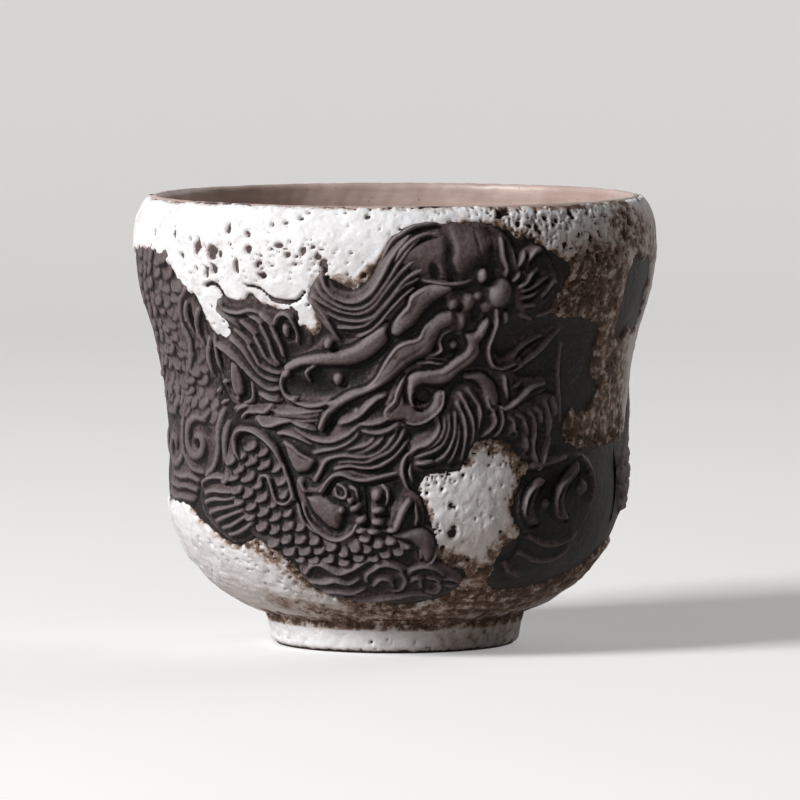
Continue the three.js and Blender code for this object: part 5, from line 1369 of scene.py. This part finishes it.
white_slip = slip_material()
rim_edge = [
    (-180, 52.6), (-160, 49.6), (-140, 49), (-122, 52), (-104, 55), (-90, 56.4), (-80, 57), (-68, 57.2),
    (-62, 56.4), (-58, 55), (-55, 53), (-52, 51.6), (-50, 51.2), (-48.6, 48.6), (-47, 46.4), (-44, 45.2),
    (-40.4, 45.4), (-38, 46.8), (-36.4, 48.6), (-35.4, 51), (-33, 52.2), (-31.4, 51), (-27, 50.1),
    (-24, 49), (-21, 47.2), (-18.6, 46.4), (-17, 47.4), (-16.9, 49.6), (-18.6, 51.4), (-18.2, 53.2),
    (-15.4, 54.8), (-12.6, 54), (-10, 53), (-7.6, 53.3), (-5.4, 54.6), (-3.6, 56.2), (-1.5, 58.8),
    (1, 60.7), (6, 61.4), (14, 62), (20, 62), (24, 61.4), (27, 60.3), (30, 59.9), (33, 58.9), (36, 57.9),
    (39, 57), (42, 55.6), (40.4, 53.4), (38.6, 52), (37.2, 50.2), (39.2, 48.8), (43, 48.4), (47, 48.6),
    (50, 48), (53.6, 47.4), (55.8, 46), (54.8, 44.2), (55.6, 42.4), (54.4, 40.6), (56.8, 39.4),
    (59.4, 38.4), (59.2, 36.8), (57.2, 37), (56.2, 35.6), (52.4, 34.7), (48.8, 35.2), (46.6, 33.6),
    (46.4, 31.8), (48.4, 30.4), (54, 29.4), (62, 29.6), (70, 29.6), (78, 29.6), (86, 32), (94, 42),
    (102, 48), (116, 52), (134, 53.4), (152, 50), (168, 51), (180, 52.6),
]
crown_radius = 34.95
crown = float(np.interp(-crown_radius, -wall.line[side_rows:, 0], wall.run[side_rows:]))
rim_low = 27
rim = Coat(wall, float(along_wall(rim_low)), crown + 0.6, 0.22, level=level_of)
rim.pour([(-180, 80), *smooth(rim_edge, 0.6), (180, 80)])
rim.cover[rim.along > crown] = 0
# Two lines where the slip drew apart, and the clay left bare at the far right.
rim.scratch([(-46, 53), (-44, 53.4), (-42, 52.8), (-40.4, 51.3), (-37, 50.8), (-32, 50.6)], 0.9)
rim.scratch([(-34, 53.3), (-31, 53), (-28, 51.7), (-25, 51.3), (-22, 51.4), (-20, 52.6)], 0.7)
rim.bare([(62, 49.6), (62.6, 53.4), (66, 56.8), (71, 55.6), (76, 56.6), (80, 53.6), (78, 50.6), (81, 47),
          (76, 44.8), (71, 46.8), (66, 44.6), (63, 46.4)])
# The larger pits, each in its own place, and then the small ones at random.
for spot in (
    (-43, 57.8, 2.6, 1.7), (-48, 58.7, 1.3, 2.4), (-33.3, 58.3, 0.8, 1.4), (-33.3, 60.3, 0.7, 0.7),
    (-38.8, 61, 0.6, 1.6), (-36.5, 55.8, 0.7, 1.6), (-30.5, 56.5, 0.9, 1.2), (-29.8, 54.9, 1.0, 0.8),
    (-53.3, 57.3, 0.8, 1.5), (-48.4, 55.4, 0.6, 0.6), (-45.2, 55, 0.7, 1.6), (-42.8, 55.5, 1.4, 1.3),
    (-66, 59.8, 0.9, 0.9), (-56.5, 60.2, 0.8, 1.8), (-25.5, 59, 1.2, 0.8), (-23.5, 57.8, 0.9, 0.7),
    (-19.8, 58.5, 0.9, 0.9), (-17.8, 58.8, 0.6, 0.6), (-16.8, 57.6, 0.9, 0.7), (-18, 56.4, 1.0, 0.7),
    (-15.3, 56.3, 0.9, 1.6), (-21.7, 56.5, 0.8, 0.5), (-9.2, 58.2, 0.4, 0.4), (-6.5, 55, 0.7, 0.6),
    (-6, 63.1, 0.9, 0.6), (-19.4, 63.6, 0.7, 0.5), (-20.8, 62.7, 0.7, 0.5), (-24.3, 62.2, 0.6, 0.6),
    (-27.5, 61.9, 0.7, 0.6), (24.5, 63.5, 1.8, 1.4), (28, 62, 0.8, 0.9), (31, 61.7, 0.8, 0.7),
    (33.5, 60.7, 0.8, 0.9), (35.3, 62.5, 0.7, 0.9), (43, 63.2, 0.9, 1.1), (48.3, 63, 0.7, 0.9),
    (39.6, 58.8, 0.9, 1.0), (47.6, 59.6, 0.8, 1.1), (50.7, 60.3, 0.8, 1.2), (46.7, 57.6, 0.8, 0.9),
    (49.7, 56.9, 0.9, 1.1), (63.5, 61.2, 0.9, 1.0), (60.5, 59.4, 0.9, 1.1), (71.5, 61.3, 0.8, 1.0),
):
    rim.pit(*spot)
rim.scatter(26, 11, (-60, -12), (54, 64), (0.2, 0.55))
rim.scatter(30, 12, (20, 45), (58.5, 65), (0.25, 0.75))
rim.scatter(50, 14, (100, 300), (50, 65), (0.25, 0.8))
# Where the slip is rubbed open, and where it is stained. The tints on the right, away from the window, are
# stain and painted shade.
rim.wear([(-50, 57.4), (-46, 58), (-42, 57.4)], 7, 0.5)
rim.wear([(-30, 57), (-24, 58.2), (-17, 57.6), (-15.6, 55.2)], 5, 0.62)
rim.wear([(-13, 54.6), (-8, 54.2), (-5, 56)], 3.4, 0.6)
rim.wear([(-10, 64.4), (8, 64.4), (18, 64.4)], 2.2, 0.35)
rim.wear([(20, 62.8), (30, 62.4), (42, 61.4), (54, 61.4), (66, 61.6)], 8, 0.7)
rim.wear([(36, 57), (46, 57), (56, 57.4), (66, 58.6)], 9, 0.72)
rim.wear([(39, 50.4), (43, 51.4), (46, 52.6)], 8, 0.95)
rim.wear([(54, 48), (58, 40), (60, 33), (72, 31)], 13, 0.3)
rim.wear([(46, 31.6), (56, 30.4), (70, 30.6), (80, 31.4)], 4, 0.9)
rim.wear([(96, 60), (140, 58), (180, 59)], 12, 0.45)
rim.wear([(-180, 59), (-140, 60), (-96, 60)], 12, 0.3)
rim.tint([(-12, 54.4), (-8, 54), (-5, 56)], 2.2, 0.45)
# Stain and painted shade: the slip on the right, away from the window, is browned.
rim.tint([(50, 52), (60, 47), (64, 39), (69, 33)], 16, 0.85)
rim.tint([(49, 33.4), (54, 32.4), (60, 32)], 6, 0.85)
rim.tint([(39, 50), (42, 51.4), (46, 52)], 7, 0.75)
# Stain and painted shade on the far right of the rim.
rim.tint([(62, 60), (74, 59), (88, 58)], 10, 0.45)
rim.tint([(22, 64.6), (40, 64.6), (60, 64.6)], 2.2, 0.4)
rim.dry("rim_slip_skin", "rim_slip", slip_thickness)


# The patch of slip on the belly
# The same slip, in a blob that ran down from the front right and set between the beard, the claw and
# the crescents. It is worn at its edges.
belly = Coat(wall, float(along_wall(8)), float(along_wall(34)), 0.24, level=level_of)
belly.pour(smooth([(5, 25), (9, 27), (16, 27.4), (18.4, 29.6), (20, 31.3), (24, 31.8), (29, 31), (31, 30),
                   (34, 28.5), (35.5, 27), (33.5, 25.8), (31.5, 24), (30.3, 22.4), (30.3, 21), (32, 19.3),
                   (33.5, 18), (31, 17), (28.5, 15.5), (28, 13.4), (27.4, 10.6), (23, 9.6), (20.3, 11.5),
                   (19, 13.2), (14, 13.4), (12, 14.6), (10, 15.5), (9.5, 18), (8.5, 21), (6.5, 23.5),
                   (5, 25)], 0.5))
for spot in (
    (14.5, 18.7, 1.5), (11.5, 24.8, 0.5), (10, 25.7, 0.6), (14.8, 22.2, 0.5), (12.3, 16.5, 0.6),
    (11.5, 26.6, 0.5), (19.4, 14.4, 0.7), (24, 29.6, 0.5), (27.5, 18.4, 0.6),
):
    belly.pit(*spot)
belly.worn[:] = 0
belly.scatter(9, 31, (6, 32), (10, 31), (0.2, 0.5))
belly.wear([(6, 25.2), (9, 27), (14, 27.2), (18, 28)], 3.4, 0.85)
belly.wear([(7, 23), (9.4, 19.6), (10.6, 16), (13, 14)], 2.6, 0.7)
belly.wear([(21, 31), (27, 30), (33, 26.4), (31, 22.4)], 4.2, 0.7)
belly.wear([(16, 13.6), (22, 12.6), (28, 15)], 6, 0.75)
belly.tint([(22, 31.4), (29, 30.4), (33, 26.4), (31, 22), (31, 18)], 3.6, 0.5)
belly.tint([(13, 14), (20, 12.4), (27, 12.6), (29, 16)], 5.5, 0.72)
belly.dry("belly_slip_skin", "belly_slip", 0.42)


# The slip on the underside
# The cup was dipped at the foot. The slip climbs the bowl in a wide wave, highest at the left and
# thinnest in front.
base_edge = [
    (-180, 13), (-154, 14.4), (-134, 18), (-114, 20.4), (-98, 21), (-84, 21.2), (-65, 21.4), (-60, 19.6),
    (-55, 18.2), (-50, 16.6), (-44, 16), (-38, 17.4), (-34.6, 16.6), (-30, 14.4), (-27.6, 12.6),
    (-25.6, 10.6), (-20, 8.9), (-12, 8), (0, 7.6), (8, 8), (14, 8.5), (18, 9.8), (20.3, 11.6), (24, 12.6),
    (27, 11.4), (30, 10.2), (34, 9.6), (42, 9.8), (50, 10.2), (55, 10.8), (60, 11.4), (65, 12), (70, 13),
    (78, 15), (86, 15.4), (98, 14), (116, 13), (134, 15), (150, 17.4), (166, 15), (180, 13),
]
base = Coat(wall, 0.1, float(along_wall(24)), 0.24, level=level_of, radius=30.0)
base.pour([(-180, 2), *smooth(base_edge, 0.6), (180, 2)])
splashes = (
    (-11, 9.3, 2.2, 0.9), (-8.6, 8.6, 2.0, 0.8), (-10.6, 7.9, 2.6, 0.9), (-4.6, 7.8, 2.4, 0.9),
    (-0.6, 9.4, 4.2, 0.9), (3.6, 9.4, 1.6, 0.8), (16, 11.3, 3.4, 1.1), (-15.4, 8.6, 1.6, 0.7),
)
for angle, level, wide, tall in splashes:
    turns = np.linspace(0, 5.7, 9)
    base.pour([(angle + wide * math.cos(t) * 1.1, level + tall * math.sin(t) * 0.75) for t in turns])
    base.tint([(angle - wide, level), (angle + wide, level)], 2.2, 0.55)
base.scatter(30, 41, (-90, 90), (5.5, 20), (0.2, 0.5))
base.scatter(60, 42, (90, 270), (5.5, 18), (0.2, 0.7))
base.scatter(26, 43, (-30, 30), (6, 9), (0.25, 0.6))
base.wear([(-60, 18), (-48, 14.6), (-38, 13), (-30, 10)], 5, 0.4)
base.wear([(-38, 16), (-32, 14), (-28, 12)], 4, 0.8)
base.wear([(-14, 7.6), (0, 7.4), (14, 8), (22, 10), (30, 9.4)], 3, 0.8)
base.wear([(-30, 5.6), (-12, 5.2), (6, 5.4), (24, 6), (44, 7)], 2.4, 0.72)
base.wear([(30, 8.6), (46, 9), (62, 10.6), (78, 14)], 7, 0.6)
base.tint([(-40, 15.4), (-36, 15), (-32, 13.6), (-27, 11)], 3.0, 0.4)
# Painted shade: the slip on the right of the underside, away from the window, is browned.
base.tint([(22, 8.4), (40, 8.4), (60, 9.6), (80, 12)], 8, 0.78)
base.tint([(-46, 8), (-24, 6.6), (0, 6.2), (26, 6.4), (44, 7.4)], 3.4, 0.55)
base.tint([(-70, 5.2), (-30, 5), (0, 5), (40, 5), (80, 5.4)], 1.6, 0.8)
base.dry("base_slip_skin", "base_slip", 0.42)


# The slip on the foot
# The same dip on the outside of the ring, wiped off the flat and parted at the joint, where the
# clay shows through.
foot_coat = Coat(foot_profile, foot_profile.run[-1] - 5.2, foot_profile.run[-1], 0.2, radius=18.0)
foot_coat.pour([(-180, 0.3), (180, 0.3), (180, 6), (-180, 6)])
foot_coat.scatter(26, 51, (-180, 180), (0.6, 4.2), (0.12, 0.34))
foot_coat.tint([(-180, 4.5), (-90, 4.4), (-40, 4.3), (0, 4.2), (40, 4.3), (90, 4.4), (180, 4.5)], 1.9, 0.8)
foot_coat.wear([(18, 2), (40, 2.2), (64, 2.4), (90, 2)], 5, 0.55)
foot_coat.wear([(-80, 4.6), (-30, 4.5), (0, 4.3), (30, 4.4), (80, 4.6)], 1.7, 0.85)
foot_coat.tint([(24, 2), (40, 2), (64, 2), (90, 2)], 5, 0.25)
foot_coat.dry("foot_slip_skin", "foot_slip", 0.34, 0.07, halo=0.45)
